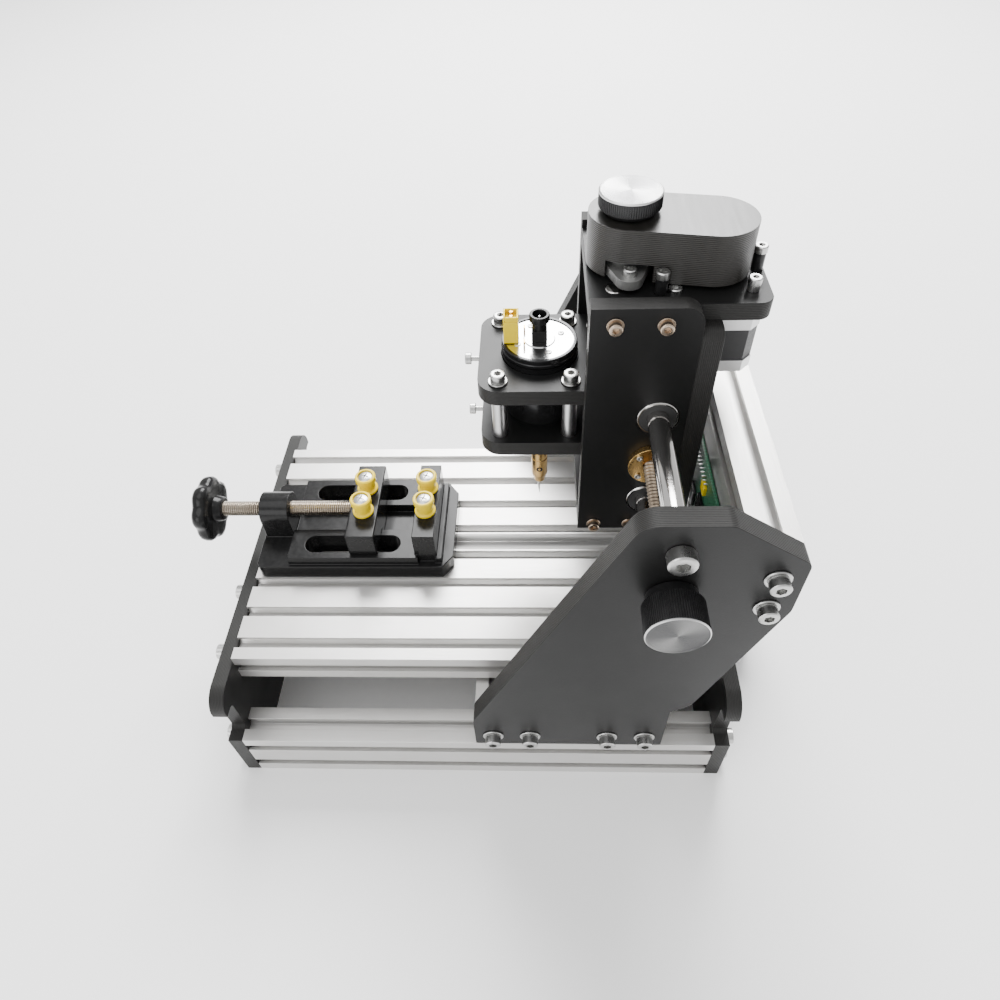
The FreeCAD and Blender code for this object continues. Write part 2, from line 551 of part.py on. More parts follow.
mid_x, mid_y = "(box_side + lift_motor_side) / 2", "(zscrew_back + lift_motor_back) / 2"
ear_way = block(("box_side - cover_wide", "zscrew_back - ear_bore / 2 - 4", "cover_low - 1"),
                ("2 * cover_wide", "ear_bore + 8",
                 "lid_high + ear_low + ear_thick + small_head_tall + 1.6 - cover_low"))
shell = cut(obround("cover_low", "cover_top - cover_low", 0),
            obround("cover_low - 1", "cover_top - cover_low + 1 - cover_wall", "-cover_wall"),
            bar(("box_side", "zscrew_back", "cover_low"), Z, "screw_bore + 3", 40), ear_way)
subpart("belt_cover", join(shell, bar((mid_x, mid_y, "lid_high"), Z, 8,
                                      "cover_top - lid_high - cover_wall / 2")))
belt_low = "pulley_low + 1.5"
belt_fit = "(pulley_tooth / 2 + 0.3 - cover_wide / 2)"
subpart("timing_belt", cut(obround(belt_low, "belt_wide", f"{belt_fit} + belt_thick"),
                           obround(belt_low, "belt_wide", belt_fit)))


def pulley(x, y):
    flange_high = "pulley_low + belt_wide + 2"
    return [bar((x, y, "pulley_low"), Z, "pulley_flange", 1),
            bar((x, y, "pulley_low"), Z, "pulley_tooth", "belt_wide + 3"),
            bar((x, y, flange_high), Z, "pulley_flange", 1)]


lift = ("box_side", "zscrew_back")
motor_axis = ("lift_motor_side", "lift_motor_back")
subpart("z_lead_screw", bar((*lift, "box_low"), Z, "screw_bore", "cover_top + 3 - box_low"))
subpart("z_pulley", cut(join(*pulley(*lift)), bar((*lift, "pulley_low - 1"), Z,
                                                  "screw_bore + 2 * run_gap", 20)))
subpart("z_motor_pulley", join(*pulley(*motor_axis),
                               bar((*motor_axis, f"{LID_LOW} + boss_high + 0.2"), Z, "motor_shaft", 24)))
crown_low = "(cover_top + 0.5)"
subpart("z_knob", cut(join(bar((*lift, crown_low), Z, "knob_bore - 3", 1.5),
                           bar((*lift, f"{crown_low} + 1.5"), Z, "knob_bore", 6.5)),
                      bar((*lift, crown_low), Z, "screw_bore + 2 * run_gap", 2.6)))

# Screws and pillars on the lid: x, y and how high the head of each stands above the lid.
corner = "(motor_wide / 2 - motor_hole_edge)"
post_places = [(f"lift_motor_side + {corner}", f"lift_motor_back + {corner}", 3),
               (f"lift_motor_side - {corner}", f"lift_motor_back + {corner}", 3),
               ("box_side + 22.6", "zscrew_back + 12.5", 7), ("lift_motor_side", "lid_back - 3", 8)]
posts = []
for x, y, tall in post_places:
    posts.append(bar((x, y, "lid_high"), Z, 5, tall))
    posts += stamp(stub_screw, [((x, y, f"lid_high + {tall}"), Z)])
posts += stamp(low_screw, [((f"lift_motor_side {s} {corner}", f"lift_motor_back - {corner}",
                             "lid_high"), Z) for s in "+-"])
posts += stamp(short_screw, [((x, "zscrew_back", "lid_high + ear_low + ear_thick"), Z)
                             for x in ear_places])
subpart("lid_screws", together(*posts))

# ---- tool slide --------------------------------------------------------------

slide_outline = [("box_side - slide_wide / 2", "slide_front"),
                 ("box_side + slide_wide / 2", "slide_front"),
                 ("box_side + slide_wide / 2", "slide_back"),
                 ("box_side - slide_wide / 2", "slide_back")]
standoff_places = [(f"box_side + {sx} * standoff_side", f"standoff_mid + {sy} * standoff_back")
                   for sx in (1, -1) for sy in (-1, 1)]
slide_holes = [(x, y, "sleeve_outer + 2 * seat_gap") for x, y in zrod_places]
slide_holes += [(x, y, "shank + small_hole_gap") for x, y in standoff_places]
upper_holes = [("box_side", "zscrew_back", f"{nut_body} + 0.2"),
               ("box_side", "tool_back", "tool_bore + 0.6")]
lower_holes = [("box_side", "zscrew_back", "screw_bore + 2"), ("box_side", "tool_back", 13)]
clamps = []
for name, low, extra, grip in (("upper", "slide_high", upper_holes, "tool_bore"),
                               ("lower", "slide_low", lower_holes, "12.6")):
    plate = board("XY_Plane", slide_outline, "slide_thick", (0, 0, low),
                  rounds=[(0, 10), (1, 10), (2, 2), (3, 2)], holes=slide_holes + extra)
    reach = f"(tool_back - {grip} / 2 - slide_front)"
    middle = f"({low} + slide_thick / 2)"
    way = bar(("box_side", "slide_front - 1", middle), Y, "small_shank + washer_gap",
              f"{reach} + 1")
    subpart(f"slide_plate_{name}", cut(plate, way))
    screw = socket_screw("small_shank", f"{reach} + clamp_stand", "small_head", "small_head_tall",
                         "small_key")
    clamps += stamp(screw, [(("box_side", "slide_front - clamp_stand", middle), NEG_Y)])
standoffs = [ring((x, y, SLIDE_UNDER), Z, "standoff_bore", "shank + small_hole_gap",
                  f"slide_high - {SLIDE_UNDER}") for x, y in standoff_places]
subpart("standoffs", together(*standoffs))
slide_bolt = socket_screw("shank", f"{SLIDE_TOP} - slide_low + washer_thick", "slide_head",
                          "slide_head_tall", "slide_key")
slide_seats = [((x, y, SLIDE_TOP), Z) for x, y in standoff_places]
slim_washer = washer("slide_washer", "shank + washer_gap", "washer_thick")
slide_screws = washered(slide_bolt, slim_washer, "washer_thick", slide_seats)
subpart("slide_screws", together(*slide_screws, *clamps))
sleeves = [ring((x, y, "slide_low"), Z, "sleeve_outer", "zrod_bore + 2 * run_gap",
                f"{SLIDE_TOP} - slide_low + 1") for x, y in zrod_places]
subpart("z_bearings", together(*sleeves))
lift_nut = join(bar((*lift, f"{SLIDE_TOP} - nut_long"), Z, nut_body, "nut_long"),
                bar((*lift, SLIDE_TOP), Z, "lift_nut_flange", "nut_flange_thick"))
subpart("z_nut", cut(lift_nut, bar((*lift, f"{SLIDE_TOP} - 14"), Z, "screw_bore + 2 * run_gap", 20)))

tool = ("box_side", "tool_back")
motor_rise = f"({SLIDE_TOP} + 5)"
can = join(bar((*tool, SLIDE_UNDER), Z, "tool_bore", f"{motor_rise} - {SLIDE_UNDER}"),
           bar((*tool, f"{SLIDE_UNDER} - 4"), Z, 12.6, 4.1))
subpart("spindle_motor", cut(can, bar((*tool, f"{SLIDE_UNDER} - 5"), Z, "cutter_bore + 0.2", 25)))
subpart("spindle_cap", bar((*tool, motor_rise), Z, "tool_bore - 0.6", 2.4))
cap_top = f"({motor_rise} + 2.4)"
jack_post = join(block(("box_side - 3.6", "tool_back - 3.6", cap_top), (7.2, 7.2, 6)),
                 bar((*tool, f"{cap_top} + 6"), Z, 6.6, 4),
                 bar((*tool, f"{cap_top} + 10"), Z, 9.4, 3.4))
subpart("power_jack", cut(jack_post, bar((*tool, f"{cap_top} + 7"), Z, 6, 10)))
subpart("power_connector",
        block(("box_side - 4", "tool_back - 16.5", cap_top), (8, 7, 14)))

subpart("spindle_shaft", bar((*tool, "collet_high - 12"), Z, "cutter_bore",
                             f"{SLIDE_UNDER} + 18 - (collet_high - 12)"))
collet = join(bar((*tool, "collet_low + 5"), Z, "collet_bore", "collet_high - collet_low - 5"),
              cone((*tool, "collet_low"), Z, "collet_bore - 2.6", "collet_bore", 5))
subpart("collet", cut(collet, bar((*tool, "collet_low - 1"), Z, "cutter_bore + 2 * run_gap", 50)))
subpart("cutter", join(bar((*tool, "collet_low"), Z, "cutter_bore",
                           "collet_high - collet_low - 13"),
                       cone((*tool, "cutter_tip"), Z, 0.6, "cutter_bore",
                            "collet_low - cutter_tip")))

# ---- vise --------------------------------------------------------------------

vise_left, vise_right = "(vise_side - vise_wide / 2)", "(vise_side + vise_wide / 2)"
base_outline = [(vise_left, "vise_front"), (vise_right, "vise_front"),
                (vise_right, "vise_back - 6"), ("vise_side + vise_wide / 2 - 8", "vise_back"),
                ("vise_side - vise_wide / 2 + 8", "vise_back"), (vise_left, "vise_back - 6")]
vise_plate = board("XY_Plane", base_outline, "vise_base", (0, 0, BED_TOP), rounds=[(0, 4), (1, 4)])
rails = []
slots = []
for sign in (1, -1):
    middle = f"vise_side + {sign} * (vise_channel / 2 + vise_rail_wide / 2)"
    rails.append(block((f"{middle} - vise_rail_wide / 2", "vise_rail_front", f"{BED_TOP} + 1"),
                       ("vise_rail_wide", "fixed_front + 2 - vise_rail_front", "vise_rail - 1")))
    reach = "vise_slot_back - vise_slot_front - vise_slot_wide"
    slots.append(block((f"{middle} - vise_slot_wide / 2", "vise_slot_front + vise_slot_wide / 2",
                        f"{BED_TOP} - 1"), ("vise_slot_wide", reach, "vise_rail + 2")))
    for end in ("vise_slot_front + vise_slot_wide / 2", "vise_slot_back - vise_slot_wide / 2"):
        slots.append(bar((middle, end, f"{BED_TOP} - 1"), Z, "vise_slot_wide", "vise_rail + 2"))
fixed_jaw = block(("vise_side - jaw_wide / 2", "fixed_front", f"{BED_TOP} + 1"),
                  ("jaw_wide", "fixed_thick", "jaw_top - 1"))
end_rise = block(("vise_side - vise_wide / 2 + 3", "fixed_front + fixed_thick - 1",
                  f"{BED_TOP} + 1"), ("vise_wide - 6", 4, "vise_rail - 3"))
screw_boss = bar(("vise_side", "boss_front", VISE_AXIS), Y, "boss_wide", "vise_boss_long")
boss_foot = block(("vise_side - boss_wide / 2", "boss_front", f"{BED_TOP} + 1"),
                  ("boss_wide", "vise_boss_long", "vise_screw_high - 1"))
screw_way = bar(("vise_side", "boss_front - 1", VISE_AXIS), Y, "vise_screw_bore + 2 * run_gap",
                "vise_boss_long + 2")
subpart("vise_base", cut(join(vise_plate, *rails, fixed_jaw, end_rise, screw_boss, boss_foot),
                         *slots, screw_way))

jaw_low = f"({BED_TOP} + vise_rail + 0.3)"
jaw_mid = "(jaw_front + jaw_thick / 2)"
jaw_block = block(("vise_side - jaw_wide / 2", "jaw_front", jaw_low),
                  ("jaw_wide", "jaw_thick", f"{JAW_TOP} - {jaw_low}"))
key = block(("vise_side - vise_channel / 2 + 0.4", "jaw_front", f"{BED_TOP} + vise_base + 0.3"),
            ("vise_channel - 0.8", "jaw_thick", 8))
subpart("vise_moving_jaw",
        cut(join(jaw_block, key), bar(("vise_side", "jaw_front - 1", VISE_AXIS), Y,
                                      "vise_screw_bore - 1 + 2 * run_gap", 10)))


def spool(x, y):
    """A waisted pin that stands on a jaw, with a socket for its screw."""
    foot = bar((x, y, JAW_TOP), Z, "pin_bore", "pin_foot")
    neck = bar((x, y, f"{JAW_TOP} + pin_foot"), Z, "pin_bore - 2 * pin_groove",
               "pin_tall - pin_foot - pin_head")
    top = bar((x, y, f"{JAW_TOP} + pin_tall - pin_head"), Z, "pin_bore", "pin_head")
    return cut(join(foot, neck, top), bar((x, y, f"{JAW_TOP} + pin_tall - pin_socket"), Z,
                                          "pin_bore - 2 * pin_rim", "pin_head"))


for name, middle in (("fixed", "(fixed_front + fixed_thick / 2)"), ("moving", jaw_mid)):
    pins = [spool(f"vise_side {s} pin_side", middle) for s in "+-"]
    pins += [bar((f"vise_side {s} pin_side", middle, f"{JAW_TOP} + pin_tall - pin_socket"), Z,
                 "pin_bore - 2 * pin_rim - 2 * seat_gap", "pin_screw_tall") for s in "+-"]
    subpart(f"vise_pins_{name}", together(*pins))

handle_back = "(vise_knob_front + vise_knob_long)"
subpart("vise_screw", join(bar(("vise_side", "vise_knob_front + 4", VISE_AXIS), Y,
                               "vise_screw_bore", "jaw_front - 0.5 - (vise_knob_front + 4)"),
                           bar(("vise_side", "vise_knob_front + 5", VISE_AXIS), Y,
                               "vise_screw_bore - 1", "jaw_front + 8 - (vise_knob_front + 5)")))
LOBES = 7
lobes = []
hand_disc = bar(("vise_side", "vise_knob_front", VISE_AXIS), Y, "vise_knob_bore", "vise_knob_long")
for turn in range(LOBES):
    angle = f"{turn * 360 / LOBES} deg"
    reach = "(vise_knob_bore / 2 + lobe_reach)"
    lobes.append(bar((f"vise_side + {reach} * cos({angle})", "vise_knob_front - 1",
                      f"{VISE_AXIS} + {reach} * sin({angle})"), Y, "lobe_bore", "vise_knob_long + 2"))
subpart("vise_knob", cut(hand_disc, *lobes, bar(("vise_side", "vise_knob_front + 3.9", VISE_AXIS),
                                                Y, "vise_screw_bore + 2 * run_gap", 20)))

# ---- check and write ---------------------------------------------------------

doc.recompute()
faults = [thing.Name for thing in doc.Objects if {"Invalid", "Error"} & set(thing.State)]
for part in subparts:
    shape = part.Shape
    if shape.isNull() or not shape.isValid() or not shape.Solids:
        faults.append(part.Label)
if faults:
    raise RuntimeError("faulty pieces: " + ", ".join(faults))
os.makedirs("parts", exist_ok=True)
for part in subparts:
    part.Shape.exportStep(f"parts/{part.Label}.step")
print(len(subparts), "sub-parts written")
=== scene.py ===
"""Finishes and fine detail for a desktop CNC router, laid out as an add-on.

Every size is in metres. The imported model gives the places; the operators below give each piece
its worked edges, threads, fasteners and finish.
"""
import json
import math

import bmesh
import bpy
from mathutils import Matrix, Vector

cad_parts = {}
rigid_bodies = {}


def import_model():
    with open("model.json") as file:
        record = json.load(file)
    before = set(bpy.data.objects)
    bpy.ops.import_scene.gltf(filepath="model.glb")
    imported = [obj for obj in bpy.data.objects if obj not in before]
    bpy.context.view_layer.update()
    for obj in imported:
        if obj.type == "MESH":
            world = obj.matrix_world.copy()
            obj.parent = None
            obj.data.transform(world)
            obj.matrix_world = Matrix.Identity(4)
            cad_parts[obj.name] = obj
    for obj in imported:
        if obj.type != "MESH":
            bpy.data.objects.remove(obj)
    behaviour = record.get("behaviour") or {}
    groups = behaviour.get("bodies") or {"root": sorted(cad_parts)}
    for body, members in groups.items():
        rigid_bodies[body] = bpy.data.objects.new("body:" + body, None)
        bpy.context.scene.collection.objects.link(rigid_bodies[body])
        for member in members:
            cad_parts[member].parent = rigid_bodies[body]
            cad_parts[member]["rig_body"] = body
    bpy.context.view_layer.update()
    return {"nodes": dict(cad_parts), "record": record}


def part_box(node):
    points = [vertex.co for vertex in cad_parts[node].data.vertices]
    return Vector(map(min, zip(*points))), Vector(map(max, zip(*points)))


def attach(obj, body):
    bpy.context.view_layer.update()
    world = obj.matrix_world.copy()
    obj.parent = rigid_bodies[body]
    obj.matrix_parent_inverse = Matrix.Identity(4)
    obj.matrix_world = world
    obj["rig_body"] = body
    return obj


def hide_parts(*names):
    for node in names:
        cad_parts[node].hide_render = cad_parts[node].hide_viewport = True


bl_info = {
    "name": "Desktop router finish",
    "version": (1, 0, 0),
    "blender": (4, 5, 0),
    "location": "View3D > Sidebar > Router",
    "description": "Builds the visible pieces and finishes of a desktop CNC router",
    "category": "Object",
}

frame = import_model()
MM = 0.001
AXES = {"X": Vector((1, 0, 0)), "Y": Vector((0, 1, 0)), "Z": Vector((0, 0, 1))}
UP = (0, 0, 1)


# ---- settings ------------------------------------------------------------------

def length(text, default, note):
    return bpy.props.FloatProperty(name=text, description=note, default=default, min=0.0,
                                   unit="LENGTH", precision=5)


def colour(text, default, note):
    return bpy.props.FloatVectorProperty(name=text, description=note, default=default, size=3,
                                         subtype="COLOR", min=0.0, max=1.0)


class RouterSizes(bpy.types.PropertyGroup):
    """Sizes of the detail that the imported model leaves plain."""
    board_edge: length("Board edge", 0.5 * MM, "Rounding along the edges of the boards")
    metal_edge: length("Metal edge", 0.25 * MM, "Rounding along the edges of machined metal")
    moulded_edge: length("Moulded edge", 1.1 * MM, "Rounding along the edges of moulded pieces")
    lead: length("Lead", 8 * MM, "Travel of a lead screw's nut in one turn")
    lead_depth: length("Lead thread depth", 0.75 * MM, "Depth of a lead screw's thread")
    lead_starts: bpy.props.IntProperty(name="Starts", description="Threads side by side",
                                       default=4, min=1, max=8)
    vise_pitch: length("Vise pitch", 1.25 * MM, "Pitch of the vise screw's thread")
    vise_depth: length("Vise thread depth", 0.6 * MM, "Depth of the vise screw's thread")
    knurl_ribs: bpy.props.IntProperty(name="Knurl ribs", description="Ribs around a hand knob",
                                      default=84, min=12, max=200)
    knurl_depth: length("Knurl depth", 0.35 * MM, "How far a rib stands out of a hand knob")
    layer: length("Board layer", 0.8 * MM, "Thickness of a layer on a board's edge or the cover")


class RouterColours(bpy.types.PropertyGroup):
    """Colours of the finishes."""
    aluminium: colour("Aluminium", (0.70, 0.695, 0.685), "Clear anodised extrusion")
    slot_tint: colour("Slot", (0.50, 0.485, 0.46), "Extrusion seen inside its slots")
    board: colour("Board face", (0.007, 0.007, 0.007), "Face of the black boards")
    board_side: colour("Board edge", (0.018, 0.0175, 0.0165), "Sawn edge of the black boards")
    steel: colour("Steel", (0.62, 0.61, 0.60), "Ground rod and bearing steel")
    zinc: colour("Zinc", (0.56, 0.56, 0.55), "Zinc plated fasteners")
    bronzed: colour("Bronzed", (0.50, 0.40, 0.31), "Warm tinted fasteners")
    thread: colour("Thread", (0.34, 0.27, 0.20), "Oiled rolled thread")
    brass: colour("Brass", (0.78, 0.52, 0.20), "Turned brass")
    moulded: colour("Moulding", (0.004, 0.004, 0.0042), "Glossy black moulding")
    yellow: colour("Yellow", (0.90, 0.66, 0.010), "Yellow moulding")
    circuit: colour("Circuit board", (0.010, 0.060, 0.030), "Solder mask")
    floor: colour("Floor", (0.97, 0.97, 0.97), "Studio floor")


def sizes():
    return bpy.context.scene.router_sizes


def colours():
    return bpy.context.scene.router_colours


# ---- shader maths ----------------------------------------------------------------

class Wire:
    """A number flowing through a material, which arithmetic turns into Math nodes."""

    def __init__(self, shader, socket):
        self.shader = shader
        self.socket = socket

    def maths(self, operation, *numbers):
        return self.shader.add("ShaderNodeMath", {"operation": operation},
                               dict(enumerate(numbers)))

    def __add__(self, other):
        return self.maths("ADD", self, other)

    def __sub__(self, other):
        return self.maths("SUBTRACT", self, other)

    def __rsub__(self, other):
        return self.maths("SUBTRACT", other, self)

    def __mul__(self, other):
        return self.maths("MULTIPLY", self, other)

    def __gt__(self, other):
        return self.maths("GREATER_THAN", self, other)

    def __abs__(self):
        return self.maths("ABSOLUTE", self)

    def sine(self):
        return self.maths("SINE", self)

    __radd__ = __add__
    __rmul__ = __mul__


class Shader:
    """One node material under construction."""

    def __init__(self, name):
        self.material = bpy.data.materials.new(name)
        self.material.use_nodes = True
        self.tree = self.material.node_tree
        self.tree.nodes.clear()
        self.place = self.add("ShaderNodeTexCoord", output="Object")

    def add(self, kind, settings=None, inputs=None, output=0):
        node = self.tree.nodes.new(kind)
        for key, setting in (settings or {}).items():
            if key == "stops":
                ramp = node.color_ramp.elements
                for position, shade in setting[2:]:
                    ramp.new(position)
                for element, (position, shade) in zip(ramp, setting):
                    element.position = position
                    element.color = (*shade, 1.0)
            else:
                setattr(node, key, setting)
        for key, entry in (inputs or {}).items():
            if isinstance(entry, Wire):
                self.tree.links.new(entry.socket, node.inputs[key])
            elif node.inputs[key].type == "RGBA" and len(entry) == 3:
                node.inputs[key].default_value = (*entry, 1.0)
            else:
                node.inputs[key].default_value = entry
        return Wire(self, node.outputs[output])

    def stretched(self, scale, turn=(0, 0, 0)):
        return self.add("ShaderNodeMapping", {}, {"Vector": self.place, "Scale": scale,
                                                  "Rotation": turn})

    def noise(self, scale, detail=3.0, stretch=(1, 1, 1)):
        return self.add("ShaderNodeTexNoise", {}, {"Vector": self.stretched(stretch),
                                                   "Scale": scale, "Detail": detail,
                                                   "Roughness": 0.55})

    def spread(self, wire, low, high):
        """The wire's 0 to 1 spread over low to high."""
        return wire * (high - low) + low

    def blend(self, factor, first, second):
        return self.add("ShaderNodeMix", {"data_type": "RGBA"},
                        {"Factor": factor, 6: first, 7: second}, output=2)

    def part(self, axis, of=None):
        source = of or self.place
        return self.add("ShaderNodeSeparateXYZ", {}, {0: source}, output="XYZ".index(axis))

    def facing(self, axis):
        """1 where the surface squarely faces along the axis, 0 on its sides."""
        normal = self.add("ShaderNodeTexCoord", output="Normal")
        return abs(self.part(axis, normal))

    def bump(self, height, distance):
        return self.add("ShaderNodeBump", {}, {"Height": height, "Distance": distance,
                                               "Strength": 1.0})

    def surface(self, **inputs):
        names = {"base": "Base Color", "rough": "Roughness", "metal": "Metallic",
                 "normal": "Normal", "specular": "Specular IOR Level"}
        shader = self.add("ShaderNodeBsdfPrincipled", {},
                          {names[key]: entry for key, entry in inputs.items()})
        node = self.tree.nodes.new("ShaderNodeOutputMaterial")
        self.tree.links.new(shader.socket, node.inputs["Surface"])
        return self.material


FINISHES = {}


def finish(name, *options):
    """The material of that name, made once by its recipe."""
    key = "_".join([name, *[str(option) for option in options]])
    if key not in FINISHES:
        FINISHES[key] = RECIPES[name](Shader(key), *options)
    return FINISHES[key]


def anodised(shader, run):
    """Drawn aluminium, with its grain along the run axis."""
    stretch = tuple(0.02 if axis == run else 1.0 for axis in "XYZ")
    grain = shader.noise(2600.0, 4.0, stretch)
    cloud = shader.noise(38.0, 3.0)
    tint = shader.blend(shader.spread(cloud, 0.0, 0.55), tuple(colours().aluminium),
                        tuple(colours().slot_tint))
    streak = shader.blend(shader.spread(grain, 0.0, 0.30), tint, (0.42, 0.41, 0.40))
    rough = shader.spread(grain, 0.30, 0.46)
    return shader.surface(base=streak, rough=rough, metal=0.82,
                          normal=shader.bump(grain, 0.04 * MM))


def board(shader, through):
    """Black board, with its layers showing on the edges along the through axis."""
    face = shader.facing(through)
    edge = 1.0 - (face > 0.6)
    layers = (shader.part(through) * (2 * math.pi / sizes().layer)).sine() * 0.5 + 0.5
    speck = shader.noise(1500.0, 3.0)
    cloud = shader.noise(30.0, 4.0)
    side = shader.blend(layers * 0.6, tuple(colours().board_side), (0.008, 0.008, 0.008))
    shade = shader.blend(edge, tuple(colours().board), side)
    rough = shader.spread(cloud, 0.30, 0.42) + edge * 0.12 + speck * 0.05
    height = layers * edge + speck * 0.25
    return shader.surface(base=shade, rough=rough, normal=shader.bump(height, 0.10 * MM),
                          specular=0.22)


def printed(shader):
    """Printed black cover, with fine level layers."""
    layers = (shader.part("Z") * (2 * math.pi / sizes().layer)).sine() * 0.5 + 0.5
    edge = 1.0 - (shader.facing("Z") > 0.6)
    weave = shader.noise(60.0, 3.0, (1.0, 8.0, 1.0))
    swirl = shader.noise(1100.0, 2.0, (1.0, 0.05, 1.0))
    shade = shader.blend(weave * 0.5 + layers * edge * 0.5, (0.006, 0.0055, 0.005),
                         (0.022, 0.020, 0.017))
    rough = shader.spread(weave, 0.26, 0.38) + edge * 0.08
    return shader.surface(base=shade, rough=rough,
                          normal=shader.bump(layers * edge + swirl * 0.15, 0.12 * MM))


def ground(shader, run):
    """Ground and polished rod steel."""
    stretch = tuple(1.0 if axis == run else 0.03 for axis in "XYZ")
    rings = shader.noise(1800.0, 2.0, stretch)
    film = shader.noise(45.0, 3.0)
    shade = shader.blend(film * 0.35, tuple(colours().steel), (0.40, 0.37, 0.34))
    return shader.surface(base=shade, rough=shader.spread(rings, 0.09, 0.19), metal=1.0,
                          normal=shader.bump(rings, 0.01 * MM))


def plated(shader, tint):
    """Zinc plate on small hardware."""
    film = shader.noise(240.0, 3.0)
    fine = shader.noise(2400.0, 2.0)
    base = tuple(getattr(colours(), tint))
    dull = tuple(0.62 * part for part in base)
    return shader.surface(base=shader.blend(film * 0.7, base, dull), metal=1.0,
                          rough=shader.spread(film, 0.20, 0.38),
                          normal=shader.bump(fine, 0.02 * MM))


def oiled(shader):
    """Rolled thread under a film of oil."""
    film = shader.noise(140.0, 4.0)
    shade = shader.blend(film, tuple(colours().thread), (0.10, 0.08, 0.06))
    return shader.surface(base=shade, metal=0.9, rough=shader.spread(film, 0.24, 0.42),
                          normal=shader.bump(film, 0.05 * MM))


def bright_thread(shader):
    """Plated clamping screw."""
    film = shader.noise(160.0, 3.0)
    shade = shader.blend(film, (0.62, 0.56, 0.48), (0.36, 0.31, 0.26))
    return shader.surface(base=shade, metal=1.0, rough=shader.spread(film, 0.2, 0.36),
                          normal=shader.bump(film, 0.04 * MM))


def turned_brass(shader):
    """Turned brass with faint tool rings and handling stains."""
    stain = shader.noise(90.0, 4.0)
    rings = shader.noise(1600.0, 2.0, (1.0, 0.05, 0.05))
    shade = shader.blend(stain * 0.6, tuple(colours().brass), (0.33, 0.19, 0.07))
    return shader.surface(base=shade, metal=1.0, rough=shader.spread(stain, 0.17, 0.34),
                          normal=shader.bump(rings, 0.02 * MM))


def black_metal(shader):
    """Black anodised knurling and pillars."""
    wear = shader.noise(500.0, 3.0)
    shade = shader.blend(wear * 0.5, (0.012, 0.012, 0.013), (0.06, 0.06, 0.06))
    return shader.surface(base=shade, metal=0.6, rough=shader.spread(wear, 0.25, 0.42),
                          normal=shader.bump(wear, 0.03 * MM))


def spun(shader, axis, centre, bright):
    """Spun face: fine circles cut about the knob's axis in the bump, and a painted highlight in two broad
    wedges round the axis in the colour.
    """
    others = [letter for letter in "XYZ" if letter != axis]
    first = shader.part(others[0]) - centre[0]
    second = shader.part(others[1]) - centre[1]
    reach = first.maths("SQRT", first * first + second * second)
    circles = (reach * (2 * math.pi / (0.16 * MM))).sine() * 0.5 + 0.5
    turn = first.maths("ARCTAN2", first, second)
    # Painted highlight: the colour swings with the angle round the axis, giving two broad bright wedges
    # between darker painted shade
    painted_highlight_mask = (turn * 2.0 + 0.6).sine() * 0.5 + 0.5
    # bright scales both colours; below one, the whole face is painted darker, as painted shade
    dark = tuple(part * bright for part in (0.30, 0.30, 0.305))
    light = tuple(part * bright for part in (0.92, 0.92, 0.91))
    return shader.surface(base=shader.blend(painted_highlight_mask * painted_highlight_mask, dark, light), metal=1.0,
                          rough=shader.spread(circles, 0.22, 0.36),
                          normal=shader.bump(circles, 0.02 * MM))


def cast_zinc(shader):
    """Grey cast bracket, dull and slightly pitted."""
    pits = shader.noise(900.0, 4.0)
    cloud = shader.noise(80.0, 3.0)
    shade = shader.blend(cloud, (0.20, 0.20, 0.20), (0.38, 0.38, 0.37))
    return shader.surface(base=shade, metal=0.8, rough=shader.spread(pits, 0.34, 0.52),
                          normal=shader.bump(pits, 0.06 * MM))


def bright_metal(shader):
    """Machined aluminium caps, standoffs, pulleys and contacts."""
    fine = shader.noise(1500.0, 2.0, (1.0, 1.0, 0.05))
    cloud = shader.noise(70.0, 3.0)
    shade = shader.blend(cloud * 0.6, (0.66, 0.66, 0.66), (0.44, 0.44, 0.44))
    return shader.surface(base=shade, metal=1.0, rough=shader.spread(fine, 0.24, 0.40),
                          normal=shader.bump(fine, 0.02 * MM))


def polished(shader):
    """Polished end plate, with a little haze."""
    haze = shader.noise(60.0, 3.0)
    shade = shader.blend(haze, (0.80, 0.80, 0.81), (0.62, 0.62, 0.63))
    return shader.surface(base=shade, metal=1.0, rough=shader.spread(haze, 0.10, 0.20))


def laminations(shader, run):
    """Black painted motor plates, with their sheet edges just showing."""
    sheets = (shader.part(run) * (2 * math.pi / (0.5 * MM))).sine() * 0.5 + 0.5
    cloud = shader.noise(120.0, 3.0)
    shade = shader.blend(cloud, (0.008, 0.008, 0.009), (0.022, 0.022, 0.023))
    return shader.surface(base=shade, rough=shader.spread(cloud, 0.30, 0.45), metal=0.2,
                          normal=shader.bump(sheets, 0.05 * MM))


def dark_can(shader):
    """Dark plated can of the spindle motor."""
    rings = shader.noise(900.0, 2.0, (0.04, 0.04, 1.0))
    cloud = shader.noise(90.0, 3.0)
    shade = shader.blend(cloud, (0.012, 0.012, 0.013), (0.045, 0.045, 0.046))
    return shader.surface(base=shade, metal=0.75, rough=shader.spread(rings, 0.14, 0.26),
                          normal=shader.bump(rings, 0.02 * MM))


def moulding(shader, tint):
    """Glossy moulding with slight sink marks and handling scuffs."""
    wave = shader.noise(55.0, 2.0)
    scuff = shader.noise(420.0, 4.0)
    base = tuple(getattr(colours(), tint))
    worn = tuple(min(1.0, part * 0.8 + 0.012) for part in base)
    return shader.surface(base=shader.blend(scuff, base, worn),
                          rough=shader.spread(scuff, 0.14, 0.30),
                          normal=shader.bump(wave + scuff * 0.06, 0.12 * MM), specular=0.18)


def rubber(shader):
    """Belt rubber."""
    fine = shader.noise(1400.0, 3.0)
    shade = shader.blend(fine, (0.012, 0.012, 0.012), (0.03, 0.03, 0.03))
    return shader.surface(base=shade, rough=shader.spread(fine, 0.55, 0.75),
                          normal=shader.bump(fine, 0.05 * MM))


